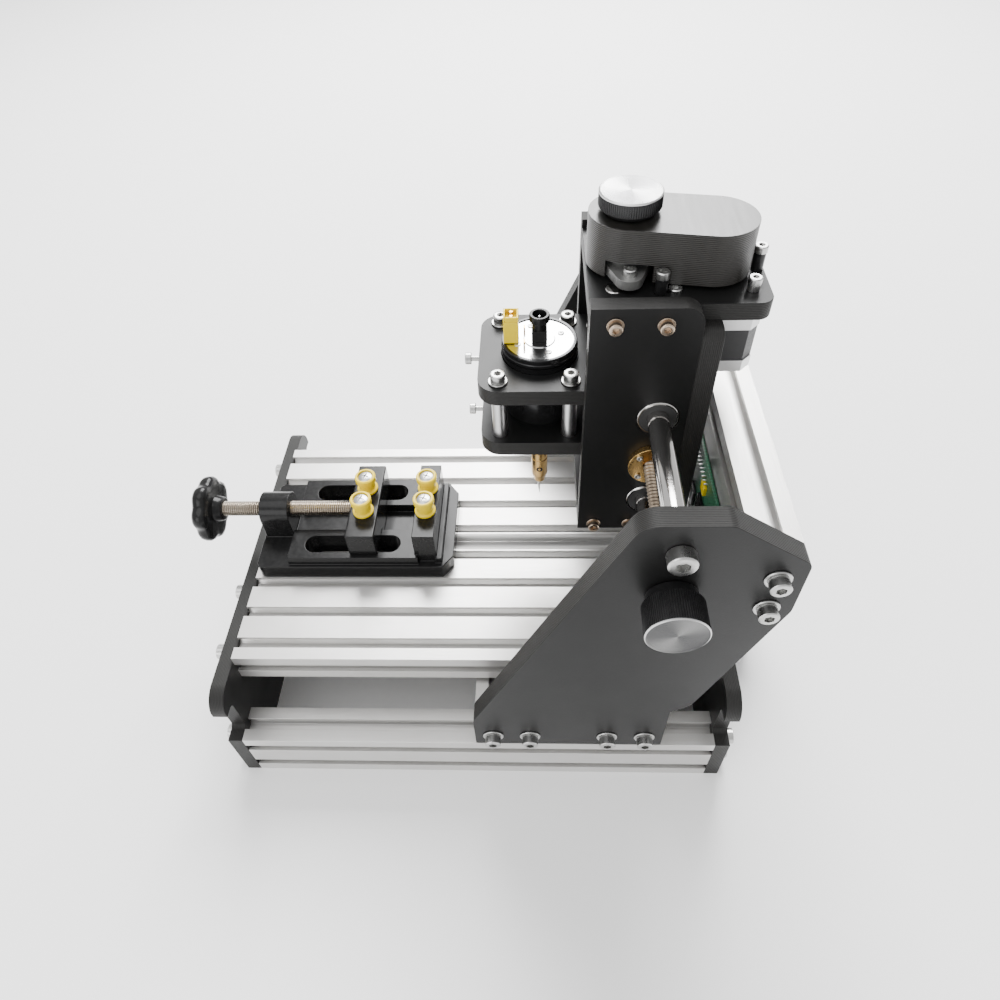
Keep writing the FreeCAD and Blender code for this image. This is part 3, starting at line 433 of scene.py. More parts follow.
def circuit(shader):
    """Solder mask over fine copper tracks."""
    tracks = shader.add("ShaderNodeTexBrick", {"offset": 0.5},
                        {"Vector": shader.stretched((1, 1, 1), (math.pi / 2, 0, 0)),
                         "Scale": 260.0, "Mortar Size": 0.09, "Color1": (0, 0, 0),
                         "Color2": (0.25, 0.25, 0.25), "Mortar": (1, 1, 1)})
    base = tuple(colours().circuit)
    copper = tuple(min(1.0, part * 2.2 + 0.01) for part in base)
    return shader.surface(base=shader.blend(tracks, base, copper),
                          rough=shader.spread(shader.noise(300.0), 0.24, 0.4),
                          normal=shader.bump(tracks, 0.04 * MM))


def studio_floor(shader):
    """Seamless paper, all but plain."""
    fibre = shader.noise(14.0, 3.0)
    base = tuple(colours().floor)
    shade = shader.blend(fibre, base, tuple(0.985 * part for part in base))
    return shader.surface(base=shade, rough=shader.spread(fibre, 0.70, 0.78))


RECIPES = {recipe.__name__: recipe for recipe in (
    anodised, board, printed, ground, plated, oiled, bright_thread, turned_brass, black_metal,
    spun, cast_zinc, bright_metal, polished, laminations, dark_can, moulding, rubber, circuit,
    studio_floor)}


# ---- mesh making -----------------------------------------------------------------

def toward(along):
    """Turns +Z to the given direction."""
    return Vector((0, 0, 1)).rotation_difference(Vector(along)).to_matrix().to_4x4()


def turned(mesh, rings, at, along, segments=48, slot=0):
    """A turned solid: rings of (height, radius), where a radius may depend on the angle."""
    matrix = Matrix.Translation(Vector(at)) @ toward(along)
    loops = []
    for height, radius in rings:
        if radius == 0:
            loops.append([mesh.verts.new(matrix @ Vector((0, 0, height)))])
            continue
        loop = []
        for step in range(segments):
            angle = 2 * math.pi * step / segments
            reach = radius(angle) if callable(radius) else radius
            point = Vector((reach * math.cos(angle), reach * math.sin(angle), height))
            loop.append(mesh.verts.new(matrix @ point))
        loops.append(loop)
    faces = []
    for low, high in zip(loops, loops[1:]):
        for step in range(segments):
            after = (step + 1) % segments
            corners = [low[step % len(low)], low[after % len(low)],
                       high[after % len(high)], high[step % len(high)]]
            corners = list(dict.fromkeys(corners))
            if len(corners) > 2:
                faces.append(mesh.faces.new(corners))
    for face in faces:
        face.material_index = slot
    return faces


def prism(mesh, outline, at, along, height, slot=0):
    """A straight solid over an outline of (x, y) points."""
    matrix = Matrix.Translation(Vector(at)) @ toward(along)
    low = [mesh.verts.new(matrix @ Vector((x, y, 0))) for x, y in outline]
    high = [mesh.verts.new(matrix @ Vector((x, y, height))) for x, y in outline]
    faces = [mesh.faces.new(low[::-1]), mesh.faces.new(high)]
    for step in range(len(outline)):
        after = (step + 1) % len(outline)
        faces.append(mesh.faces.new([low[step], low[after], high[after], high[step]]))
    for face in faces:
        face.material_index = slot


def brick(mesh, low, high, slot=0):
    """A rectangular solid between two corners."""
    outline = [(low[0], low[1]), (high[0], low[1]), (high[0], high[1]), (low[0], high[1])]
    prism(mesh, outline, (0, 0, low[2]), UP, high[2] - low[2], slot)


def polygon(sides, circumradius, turn=0.0):
    """The radius of a regular polygon at each angle, for a turned solid."""
    half = math.pi / sides

    def reach(angle):
        return circumradius * math.cos(half) / math.cos((angle + turn) % (2 * half) - half)
    return reach


def show(item):
    """Puts an object into the scene."""
    bpy.context.scene.collection.objects.link(item)


def piece(name, mesh, node, finishes, **edges):
    """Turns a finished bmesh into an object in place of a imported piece."""
    bmesh.ops.recalc_face_normals(mesh, faces=mesh.faces)
    data = bpy.data.meshes.new(name)
    mesh.to_mesh(data)
    mesh.free()
    return settle(name, data, node, finishes, **edges)


def settle(name, data, node, finishes, edge=0.0, crease=35.0, steps=2, slot=None, added=False):
    """Gives a mesh its finishes and edges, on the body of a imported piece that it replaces.

    An added piece goes with another one and replaces nothing itself.
    """
    body = body_of(node)
    slot = slot or slot_of(node)
    replaced = () if added else (node,)
    chosen = [face.material_index for face in data.polygons]
    data.materials.clear()
    for material in finishes:
        data.materials.append(material)
    data.polygons.foreach_set("material_index", chosen)
    data.polygons.foreach_set("use_smooth", [True] * len(data.polygons))
    item = bpy.data.objects.new(name, data)
    show(item)
    if edge > 0:
        bevel = item.modifiers.new("edge", "BEVEL")
        bevel.width = edge
        bevel.segments = steps
        bevel.limit_method = "ANGLE"
        bevel.angle_limit = math.radians(crease)
        bevel.miter_outer = "MITER_ARC"
        normals = item.modifiers.new("normals", "WEIGHTED_NORMAL")
        normals.keep_sharp = True
    else:
        data.set_sharp_from_angle(angle=math.radians(crease))
    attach(item, body)
    if replaced:
        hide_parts(*replaced)
    return item


def body_of(node):
    return frame["nodes"][node]["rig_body"]


def slot_of(node):
    for entry in frame["record"]["subparts"]:
        if entry["node"] == node:
            return entry["material_slot"]
    raise ValueError(f"{node} has no slot")


def merged(node):
    """A joined-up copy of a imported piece's mesh."""
    mesh = bmesh.new()
    mesh.from_mesh(frame["nodes"][node].data)
    bmesh.ops.remove_doubles(mesh, verts=mesh.verts, dist=2e-6)
    return mesh


def worked(node, finishes, edge, crease=35.0, steps=2):
    """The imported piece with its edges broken, as it leaves the workshop."""
    mesh = merged(node)
    bmesh.ops.dissolve_limit(mesh, angle_limit=math.radians(0.5), verts=mesh.verts,
                             edges=mesh.edges)
    return piece(node + "_finished", mesh, node, finishes, edge=edge, crease=crease, steps=steps)


def dress(node, material):
    """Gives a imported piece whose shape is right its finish."""
    item = frame["nodes"][node]
    for holder in item.material_slots:
        holder.material = material
    slot_of(node)


def solids(node):
    """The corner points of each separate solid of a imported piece."""
    mesh = merged(node)
    mesh.verts.ensure_lookup_table()
    seen = set()
    groups = []
    for start in mesh.verts:
        if start.index in seen:
            continue
        seen.add(start.index)
        stack = [start]
        group = []
        while stack:
            vertex = stack.pop()
            group.append(vertex.co.copy())
            for edge in vertex.link_edges:
                other = edge.other_vert(vertex)
                if other.index not in seen:
                    seen.add(other.index)
                    stack.append(other)
        groups.append(group)
    mesh.free()
    return groups


class Round:
    """A round solid read from its corner points: axis, ends, radius, bore, seat and head."""

    def __init__(self, points, index=None):
        low = Vector([min(point[i] for point in points) for i in range(3)])
        high = Vector([max(point[i] for point in points) for i in range(3)])
        size = high - low
        middle = (low + high) / 2
        spans = sorted(range(3), key=lambda i: size[i])
        self.disc = size[spans[0]] < 0.4 * size[spans[1]]
        if index is None:
            index = spans[0] if self.disc else spans[2]
        axis = Vector([1.0 if i == index else 0.0 for i in range(3)])
        reaches = [((point - middle) - axis * (point - middle)[index]).length for point in points]
        self.radius = max(reaches)
        self.bore = min(reaches)
        wide = [point[index] for point, reach in zip(points, reaches) if reach > 0.8 * self.radius]
        self.corners = len(wide)
        outward = 1.0 if (min(wide) + max(wide)) / 2 >= middle[index] - 1e-7 else -1.0
        if self.disc:
            outward = 1.0
        self.along = axis * outward
        self.head_tall = max(wide) - min(wide)
        seat = min(wide) if outward > 0 else max(wide)
        self.seat = middle + axis * (seat - middle[index])
        self.shank = size[index] - self.head_tall
        self.low, self.high, self.middle = low, high, middle
        self.letter = "XYZ"[index]
        self.axis = AXES[self.letter]
        self.span = size[index]
        self.start = middle - self.axis * self.span / 2


# ---- geometry nodes ----------------------------------------------------------------

def node_tree(name, inputs):
    """A geometry tree with named inputs; returns it with its input and output nodes."""
    tree = bpy.data.node_groups.new(name, "GeometryNodeTree")
    tree.interface.new_socket("Geometry", in_out="INPUT", socket_type="NodeSocketGeometry")
    for label, kind in inputs:
        tree.interface.new_socket(label, in_out="INPUT", socket_type="NodeSocket" + kind)
    tree.interface.new_socket("Geometry", in_out="OUTPUT", socket_type="NodeSocketGeometry")
    return tree, tree.nodes.new("NodeGroupInput"), tree.nodes.new("NodeGroupOutput")


def step(tree, kind, settings=None, **wires):
    """Adds one node; a wire's name is the socket's, with spaces as underscores."""
    node = tree.nodes.new("GeometryNode" + kind if not kind.startswith(("Shader", "Function"))
                          else kind)
    for key, setting in (settings or {}).items():
        setattr(node, key, setting)
    for name, entry in wires.items():
        label = name.replace("_", " ")
        socket = node.inputs[int(label[1:])] if label[0] == "n" and label[1:].isdigit() \
            else node.inputs[label]
        if isinstance(entry, bpy.types.NodeSocket):
            tree.links.new(entry, socket)
        else:
            socket.default_value = entry
    return node


def reckon(tree, operation, first, second):
    """The outcome of one sum on two numbers."""
    return step(tree, "ShaderNodeMath", {"operation": operation}, n0=first, n1=second).outputs[0]


def shared_turn(tree, count):
    """Turns each point by its own share of the circle."""
    index = step(tree, "InputIndex")
    share = reckon(tree, "DIVIDE", index.outputs[0], count)
    angle = reckon(tree, "MULTIPLY", share, 2 * math.pi)
    return step(tree, "ShaderNodeCombineXYZ", Z=angle).outputs[0]


def standing_bar(tree, vertices, radius, span):
    """A cylinder from the ground up."""
    bar = step(tree, "MeshCylinder", Vertices=vertices, Radius=radius, Depth=span)
    centre = step(tree, "ShaderNodeCombineXYZ", Z=reckon(tree, "MULTIPLY", span, 0.5))
    return step(tree, "Transform", Geometry=bar.outputs[0],
                Translation=centre.outputs[0]).outputs[0]


def finish_tree(tree, geometry, source, output):
    """Realises the instances, gives them their material and closes the tree."""
    real = step(tree, "RealizeInstances", Geometry=geometry)
    painted = step(tree, "SetMaterial", Geometry=real.outputs[0],
                   Material=source.outputs["Finish"])
    tree.links.new(painted.outputs[0], output.inputs[0])
    return tree


def scatter_tree():
    """Sets a pattern piece on every point, turned to the point's own direction."""
    tree, source, output = node_tree("set_on_points", [("Pattern", "Object"),
                                                       ("Finish", "Material")])
    pattern = step(tree, "ObjectInfo", Object=source.outputs["Pattern"])
    facing = step(tree, "InputNamedAttribute", {"data_type": "FLOAT_VECTOR"}, Name="facing")
    turn = step(tree, "FunctionNodeAlignRotationToVector", {"axis": "Z"},
                Vector=facing.outputs[0])
    copies = step(tree, "InstanceOnPoints", Points=source.outputs["Geometry"],
                  Instance=pattern.outputs["Geometry"], Rotation=turn.outputs[0])
    return finish_tree(tree, copies.outputs[0], source, output)


def thread_tree():
    """A threaded bar from the ground up: a core with ridges that wind round it."""
    tree, source, output = node_tree("threaded_bar", [
        ("Length", "Float"), ("Radius", "Float"), ("Lead", "Float"), ("Depth", "Float"),
        ("Starts", "Int"), ("Finish", "Material")])
    value = source.outputs
    turns = reckon(tree, "DIVIDE", value["Length"], value["Lead"])
    core = reckon(tree, "SUBTRACT", value["Radius"], value["Depth"])
    ridge = reckon(tree, "MULTIPLY", value["Depth"], 0.98)
    spiral = step(tree, "CurveSpiral", Resolution=26, Rotations=turns, Start_Radius=core,
                  End_Radius=core, Height=value["Length"])
    section = step(tree, "CurvePrimitiveCircle", Resolution=4, Radius=ridge)
    level = step(tree, "SetCurveNormal", {"mode": "Z_UP"}, Curve=spiral.outputs[0])
    winding = step(tree, "CurveToMesh", Curve=level.outputs[0],
                   Profile_Curve=section.outputs[0], Fill_Caps=True)
    starts = step(tree, "Points", Count=value["Starts"])
    ridges = step(tree, "InstanceOnPoints", Points=starts.outputs[0],
                  Instance=winding.outputs[0], Rotation=shared_turn(tree, value["Starts"]))
    both = step(tree, "JoinGeometry")
    tree.links.new(standing_bar(tree, 40, core, value["Length"]), both.inputs[0])
    tree.links.new(ridges.outputs[0], both.inputs[0])
    return finish_tree(tree, both.outputs[0], source, output)


def knurl_tree():
    """Straight ribs round a knob, from the ground up."""
    tree, source, output = node_tree("knurl", [
        ("Ribs", "Int"), ("Radius", "Float"), ("Length", "Float"), ("Depth", "Float"),
        ("Finish", "Material")])
    value = source.outputs
    circle = step(tree, "MeshCircle", Vertices=value["Ribs"], Radius=value["Radius"])
    copies = step(tree, "InstanceOnPoints", Points=circle.outputs[0],
                  Instance=standing_bar(tree, 6, value["Depth"], value["Length"]),
                  Rotation=shared_turn(tree, value["Ribs"]))
    return finish_tree(tree, copies.outputs[0], source, output)


TREES = {}
TREE_MAKERS = {"scatter": scatter_tree, "thread": thread_tree, "knurl": knurl_tree}


def grown(tree_name, settings, points=(), facings=()):
    """Runs a geometry tree on some points and returns the plain mesh it grows."""
    if tree_name not in TREES:
        TREES[tree_name] = TREE_MAKERS[tree_name]()
    tree = TREES[tree_name]
    seed = bpy.data.meshes.new("seed")
    seed.from_pydata([tuple(point) for point in points], [], [])
    facing = seed.attributes.new("facing", "FLOAT_VECTOR", "POINT")
    facing.data.foreach_set("vector", [part for vector in facings for part in vector])
    holder = bpy.data.objects.new("seed", seed)
    show(holder)
    modifier = holder.modifiers.new("grow", "NODES")
    modifier.node_group = tree
    for item in tree.interface.items_tree:
        if item.in_out == "INPUT" and item.name in settings:
            modifier[item.identifier] = settings[item.name]
    bpy.context.view_layer.update()
    evaluated = holder.evaluated_get(bpy.context.evaluated_depsgraph_get())
    result = bpy.data.meshes.new_from_object(evaluated)
    bpy.data.objects.remove(holder)
    return result


def threaded(name, node, at, along, span, radius, lead, depth, starts, material):
    """A threaded bar in place of a packed plain one."""
    data = grown("thread", {"Length": span, "Radius": radius, "Lead": lead, "Depth": depth,
                            "Starts": starts, "Finish": material})
    data.transform(Matrix.Translation(Vector(at)) @ toward(along))
    return settle(name, data, node, [material], crease=60.0)


def scattered(mesh, material, seats, facings):
    """Copies of a pattern piece, one on each seat; the pattern itself isn't kept."""
    bmesh.ops.recalc_face_normals(mesh, faces=mesh.faces)
    data = bpy.data.meshes.new("pattern")
    mesh.to_mesh(data)
    mesh.free()
    data.polygons.foreach_set("use_smooth", [True] * len(data.polygons))
    data.set_sharp_from_angle(angle=math.radians(30))
    pattern = bpy.data.objects.new("pattern", data)
    show(pattern)
    result = grown("scatter", {"Pattern": pattern, "Finish": material}, seats, facings)
    bpy.data.objects.remove(pattern)
    return result


def socket_head(radius, tall, shank_radius, shank, key):
    """A cap screw with a chamfered head and a hexagon socket."""
    mesh = bmesh.new()
    chamfer = 0.12 * radius
    hexagon = polygon(6, key)
    turned(mesh, [(-shank, 0), (-shank, shank_radius), (0, shank_radius),
                  (0, radius - chamfer / 2), (chamfer / 2, radius), (tall - chamfer, radius),
                  (tall - 0.4 * chamfer, radius - 0.5 * chamfer),
                  (tall, radius - 1.5 * chamfer), (tall, hexagon), (0.45 * tall, hexagon),
                  (0.40 * tall, 0)], (0, 0, 0), UP, 36)
    return mesh


def hex_head(radius, tall, shank_radius, shank):
    """A hexagon bolt whose corners are turned down at the top."""
    mesh = bmesh.new()
    turned(mesh, [(-shank, 0), (-shank, shank_radius), (0, shank_radius), (0, polygon(6, radius)),
                  (0.78 * tall, polygon(6, radius)), (0.95 * tall, polygon(6, radius * 0.9)),
                  (tall, 0.76 * radius), (tall, 0)], (0, 0, 0), UP, 48)
    return mesh


def washer_ring(radius, bore, thick):
    """A punched washer with rolled edges."""
    mesh = bmesh.new()
    soft = 0.25 * thick
    rings = [(0, bore + soft), (0, radius - soft), (soft, radius), (thick - soft, radius),
             (thick, radius - soft), (thick, bore + soft), (thick - soft, bore), (soft, bore),
             (0, bore + soft)]
    turned(mesh, rings, (0, 0, 0), UP, 40)
    bmesh.ops.remove_doubles(mesh, verts=mesh.verts, dist=1e-7)
    return mesh


def fastener_mesh(kind, radius, tall, bore, shank):
    if kind == "washer":
        return washer_ring(radius, bore, tall)
    if kind == "bolt":
        return hex_head(radius, tall, 0.34 * radius, shank)
    return socket_head(radius, tall, 0.47 * radius, shank, 0.54 * radius)


HEXAGON_CORNERS = 12


def fasteners(node, material):
    """Washers and screws of a packed group, each set on its own seat."""
    kinds = {}
    for points in solids(node):
        item = Round(points)
        kind = "washer" if item.disc else "screw"
        if not item.disc and item.corners <= HEXAGON_CORNERS:
            kind = "bolt"
        tall = item.span if kind == "washer" else item.head_tall
        seat = item.seat
        if item.disc:
            seat = item.middle - item.along * tall / 2
        key = (kind, round(item.radius, 5), round(tall, 5), round(item.bore, 5),
               round(max(item.shank, 0.0), 5))
        kinds.setdefault(key, []).append((seat, item.along))
    whole = bmesh.new()
    for (kind, radius, tall, bore, shank), seats in sorted(kinds.items()):
        mesh = fastener_mesh(kind, radius, tall, bore, shank)
        whole.from_mesh(scattered(mesh, material, [seat for seat, along in seats],
                                  [along for seat, along in seats]))
    return piece(node + "_set", whole, node, [material], crease=30.0)


# ---- the pieces ------------------------------------------------------------------

class RouterOperator:
    """What every operator here shares."""
    bl_options = {"REGISTER", "UNDO"}


class ROUTER_OT_extrusions(RouterOperator, bpy.types.Operator):
    """Bed, base rails, cross-members and back beam in slotted extrusion"""
    bl_idname = "router.extrusions"
    bl_label = "Extrusions"

    def execute(self, context):
        runs = {"base_rail_near": "Y", "base_rail_far": "Y", "bed_profiles": "Y",
                "cross_members": "X", "back_beam": "X"}
        for node, run in runs.items():
            worked(node, [finish("anodised", run)], sizes().metal_edge, steps=1)
        worked("y_bearing_blocks", [finish("anodised", "Y")], 2 * sizes().metal_edge)
        return {"FINISHED"}


class ROUTER_OT_boards(RouterOperator, bpy.types.Operator):
    """End plates, gantry plates, carriage box, slide plates and belt cover"""
    bl_idname = "router.boards"
    bl_label = "Boards"

    def execute(self, context):
        through = {"end_plate_front": "Y", "end_plate_rear": "Y", "gantry_plate_near": "X",
                   "gantry_plate_far": "X", "carriage_plate_near": "X",
                   "carriage_plate_far": "X", "carriage_back_plate": "Y",
                   "carriage_top_plate": "Z", "carriage_bottom_plate": "Z",
                   "slide_plate_upper": "Z", "slide_plate_lower": "Z"}
        for node, axis in through.items():
            worked(node, [finish("board", axis)], sizes().board_edge)
        worked("belt_cover", [finish("printed")], 2 * sizes().board_edge, crease=50.0, steps=3)
        return {"FINISHED"}


class ROUTER_OT_rods(RouterOperator, bpy.types.Operator):
    """Polished guide rods with chamfered ends"""
    bl_idname = "router.rods"
    bl_label = "Guide rods"

    def execute(self, context):
        for node in ("x_rods", "y_rods", "z_rods"):
            mesh = bmesh.new()
            for points in solids(node):
                rod = Round(points)
                chamfer = 0.12 * rod.radius
                turned(mesh, [(0, 0), (0, rod.radius - chamfer), (chamfer, rod.radius),
                              (rod.span - chamfer, rod.radius), (rod.span, rod.radius - chamfer),
                              (rod.span, 0)], rod.start, rod.axis, 72)
            piece(node + "_ground", mesh, node, [finish("ground", rod.letter)], crease=30.0)
        return {"FINISHED"}


class ROUTER_OT_lead_screws(RouterOperator, bpy.types.Operator):
    """Threaded lead screws and their brass nuts"""
    bl_idname = "router.lead_screws"
    bl_label = "Lead screws"

    def execute(self, context):
        for node in ("x_lead_screw", "y_lead_screw", "z_lead_screw"):
            bar = Round(solids(node)[0])
            threaded(node + "_thread", node, bar.start, bar.axis, bar.span, bar.radius,
                     sizes().lead, sizes().lead_depth, sizes().lead_starts, finish("oiled"))
        for node in ("x_nut", "z_nut", "y_nut_block"):
            worked(node, [finish("turned_brass")], sizes().metal_edge, crease=40.0)
        self.flange_screws("x_nut", "X")
        self.flange_screws("z_nut", "Z")
        return {"FINISHED"}

    def flange_screws(self, node, letter):
        """Four small cap screws in a nut's flange."""
        low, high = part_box(node)
        index = "XYZ".index(letter)
        axis = AXES[letter]
        middle = (low + high) / 2
        circle = 0.78 * (high - low)[(index + 1) % 3] / 2
        seats = []
        for turn in range(4):
            angle = math.pi / 4 + turn * math.pi / 2
            offset = toward(axis) @ Vector((circle * math.cos(angle), circle * math.sin(angle), 0))
            seat = middle + offset
            seat[index] = high[index]
            seats.append(seat)
        zinc = finish("plated", "zinc")
        head = socket_head(1.45 * MM, 1.0 * MM, 0.7 * MM, 1.0 * MM, 0.7 * MM)
        data = scattered(head, zinc, seats, [axis] * 4)
        settle(node + "_screws", data, node, [zinc], crease=30.0, slot="screw_steel", added=True)


class ROUTER_OT_bearings(RouterOperator, bpy.types.Operator):
    """Linear bearings with seals, ball bearing rings and the flange bearing"""
    bl_idname = "router.bearings"
    bl_label = "Bearings"

    def execute(self, context):
        for node in ("x_bearings", "z_bearings"):
            steel = bmesh.new()
            for points in solids(node):
                ring = Round(points)
                self.linear(steel, ring.start, ring.axis, ring.radius, ring.bore, ring.span)
            piece(node + "_sealed", steel, node, [finish("ground", ring.letter), finish("rubber")],
                  crease=30.0)
        for node in ("x_end_bearing", "y_end_bearing"):
            worked(node, [finish("ground", node[0].upper())], sizes().metal_edge)
        worked("z_flange_bearing", [finish("cast_zinc")], 2 * sizes().metal_edge, crease=40.0)
        return {"FINISHED"}

    def linear(self, mesh, at, axis, radius, bore, span):
        """A bearing sleeve: chamfered shell with a groove near each end and rubber seals."""
        groove = 0.06 * radius
        seal = 0.16 * radius
        place = 0.17 * span
        wide = 1.3 * MM
        wall = bore + 0.75 * (radius - bore)
        turned(mesh, [(seal, wall), (0, wall), (0, radius - groove), (groove, radius),
                      (place, radius), (place, radius - groove), (place + wide, radius - groove),
                      (place + wide, radius), (span - place - wide, radius),
                      (span - place - wide, radius - groove), (span - place, radius - groove),
                      (span - place, radius), (span - groove, radius), (span, radius - groove),
                      (span, wall), (span - seal, wall)], at, axis, 56)
        for start, finish_at in ((0.06 * seal, seal), (span - seal, span - 0.06 * seal)):
            turned(mesh, [(start, bore), (start, wall), (finish_at, wall), (finish_at, bore),
                          (start, bore)], at, axis, 56, slot=1)


class ROUTER_OT_motors(RouterOperator, bpy.types.Operator):
    """Three square stepper motors: laminated body between bright end caps"""
    bl_idname = "router.motors"
    bl_label = "Stepper motors"

    def execute(self, context):
        self.stepper("x_motor", "X", 1)
        self.stepper("y_motor", "Y", -1)
        self.stepper("z_motor", "Z", 1)
        return {"FINISHED"}

    def stepper(self, node, letter, way):
        low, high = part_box(node)
        index = "XYZ".index(letter)
        axis = AXES[letter] * way
        half = (high - low)[(index + 1) % 3] / 2
        boss = 2 * MM
        boss_radius = 11 * MM
        screw_reach = 15.5 * MM
        screw_stand = 0.9 * MM
        paint_sunk = 0.35 * MM
        back = (low + high) / 2
        back[index] = low[index] if way > 0 else high[index]
        span = (high - low)[index] - boss
        cut = 4.5 * MM

        def section(reach, corner):
            outline = []
            for sx, sy in ((1, -1), (1, 1), (-1, 1), (-1, -1)):
                pair = [(sx * reach, sy * (reach - corner)), (sx * (reach - corner), sy * reach)]
                outline += pair if sx * sy > 0 else pair[::-1]
            return outline[1:] + outline[:1]

        mesh = bmesh.new()
        parts = ((0.0, 0.22, half, 0), (0.22, 0.74, half - paint_sunk, 1), (0.74, 1.0, half, 0))
        for start, stop, reach, slot in parts:
            sunk = screw_stand if start == 0 else 0.0
            prism(mesh, section(reach, cut), back + axis * (start * span + sunk), axis,
                  (stop - start) * span - sunk, slot)
        turned(mesh, [(0, 0), (0, boss_radius), (boss - 0.3 * MM, boss_radius),
                      (boss, boss_radius - 0.3 * MM), (boss, 0)], back + axis * span, axis, 56)
        for sx in (-1, 1):
            for sy in (-1, 1):
                offset = toward(axis) @ Vector((sx * screw_reach, sy * screw_reach, 0))
                turned(mesh, [(-screw_stand, 0), (-screw_stand, 1.6 * MM), (-0.5 * MM, 2.4 * MM),
                              (0, 2.6 * MM), (0.2 * MM, 2.6 * MM)],
                       back + offset + axis * screw_stand, axis, 20)
        piece(node + "_dressed", mesh, node,
              [finish("bright_metal"), finish("laminations", letter)], edge=2 * sizes().metal_edge)


class ROUTER_OT_knobs(RouterOperator, bpy.types.Operator):
    """Knurled hand knobs with spun faces"""
    bl_idname = "router.knobs"
    bl_label = "Hand knobs"

    def execute(self, context):
        # The X knob's spun face is the Z knob's finish at a quarter of the brightness: painted shade
        self.knob("x_knob", "X", 4 * MM, 0.25)
        self.knob("z_knob", "Z", 1.5 * MM, 1.0)
        return {"FINISHED"}

    def knob(self, node, letter, neck, bright):
        low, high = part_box(node)
        index = "XYZ".index(letter)
        axis = AXES[letter]
        middle = (low + high) / 2
        start = middle.copy()
        start[index] = low[index]
        span = (high - low)[index]
        radius = (high - low)[(index + 1) % 3] / 2
        depth = sizes().knurl_depth
        bare = radius - depth
        rim = 0.9 * MM
        others = [i for i in range(3) if i != index]
        centre = (middle[others[0]], middle[others[1]])
        mesh = bmesh.new()
        turned(mesh, [(0, 0), (0, bare - 1.6 * MM), (neck, bare - 1.2 * MM), (neck + 0.3 * MM, bare),
                      (span - rim, bare)], start, axis, 96)
        turned(mesh, [(span - rim, bare), (span - rim + 0.2 * MM, radius), (span - 0.35 * MM, radius),
                      (span, radius - 0.5 * MM)], start, axis, 96, slot=1)
        turned(mesh, [(span, radius - 0.5 * MM), (span - 0.25 * MM, radius - 1.0 * MM),
                      (span - 0.25 * MM, 0)], start, axis, 96, slot=2)
        bmesh.ops.remove_doubles(mesh, verts=mesh.verts, dist=1e-7)
        faces = [finish("black_metal"), finish("bright_metal"), finish("spun", letter, centre, bright)]
        piece(node + "_turned", mesh, node, faces, crease=25.0)
        ribs = grown("knurl", {"Ribs": sizes().knurl_ribs, "Radius": bare, "Depth": depth,
                               "Length": span - neck - rim - 0.6 * MM,
                               "Finish": finish("black_metal")})
        ribs.transform(Matrix.Translation(start + axis * (neck + 0.5 * MM)) @ toward(axis))
        settle(node + "_knurling", ribs, node, [finish("black_metal")], crease=30.0, added=True)


class ROUTER_OT_fasteners(RouterOperator, bpy.types.Operator):
    """Socket screws, hexagon bolts and washers on their seats"""
    bl_idname = "router.fasteners"
    bl_label = "Fasteners"

    def execute(self, context):
        for node in ("frame_screws", "gantry_screws", "slide_screws"):
            fasteners(node, finish("plated", "zinc"))
        fasteners("carriage_screws", finish("plated", "bronzed"))
        self.lid_screws()
        return {"FINISHED"}

    def lid_screws(self):
        """Screws and short black pillars with steel heads on the carriage's lid."""
        node = "lid_screws"
        mesh = bmesh.new()
        shell = [Round(points, 2) for points in solids(node)]
        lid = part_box("carriage_top_plate")[1].z
        for item in shell:
            tall = item.high.z - item.low.z
            foot = Vector((item.middle.x, item.middle.y, item.low.z))
            if item.low.z < lid + 0.2 * MM and item.radius < 2.7 * MM and tall > 0.9 * MM:
                turned(mesh, [(0, 0), (0, item.radius - 0.2 * MM), (0.2 * MM, item.radius),
                              (tall - 0.2 * MM, item.radius), (tall, item.radius - 0.2 * MM),
                              (tall, 0)], foot, UP, 32, slot=1 if tall > 6 * MM else 0)
                continue
            head = min(tall, 3 * MM)
            hexagon = polygon(6, 1.45 * MM)
            top, radius = tall, item.radius
            turned(mesh, [(top - head, 0), (top - head, radius), (top - 0.35 * MM, radius),
                          (top, radius - 0.45 * MM), (top, hexagon), (top - 0.55 * head, hexagon),
                          (top - 0.6 * head, 0)], foot, UP, 36)
        piece(node + "_set", mesh, node, [finish("plated", "zinc"), finish("black_metal")],
              crease=30.0)


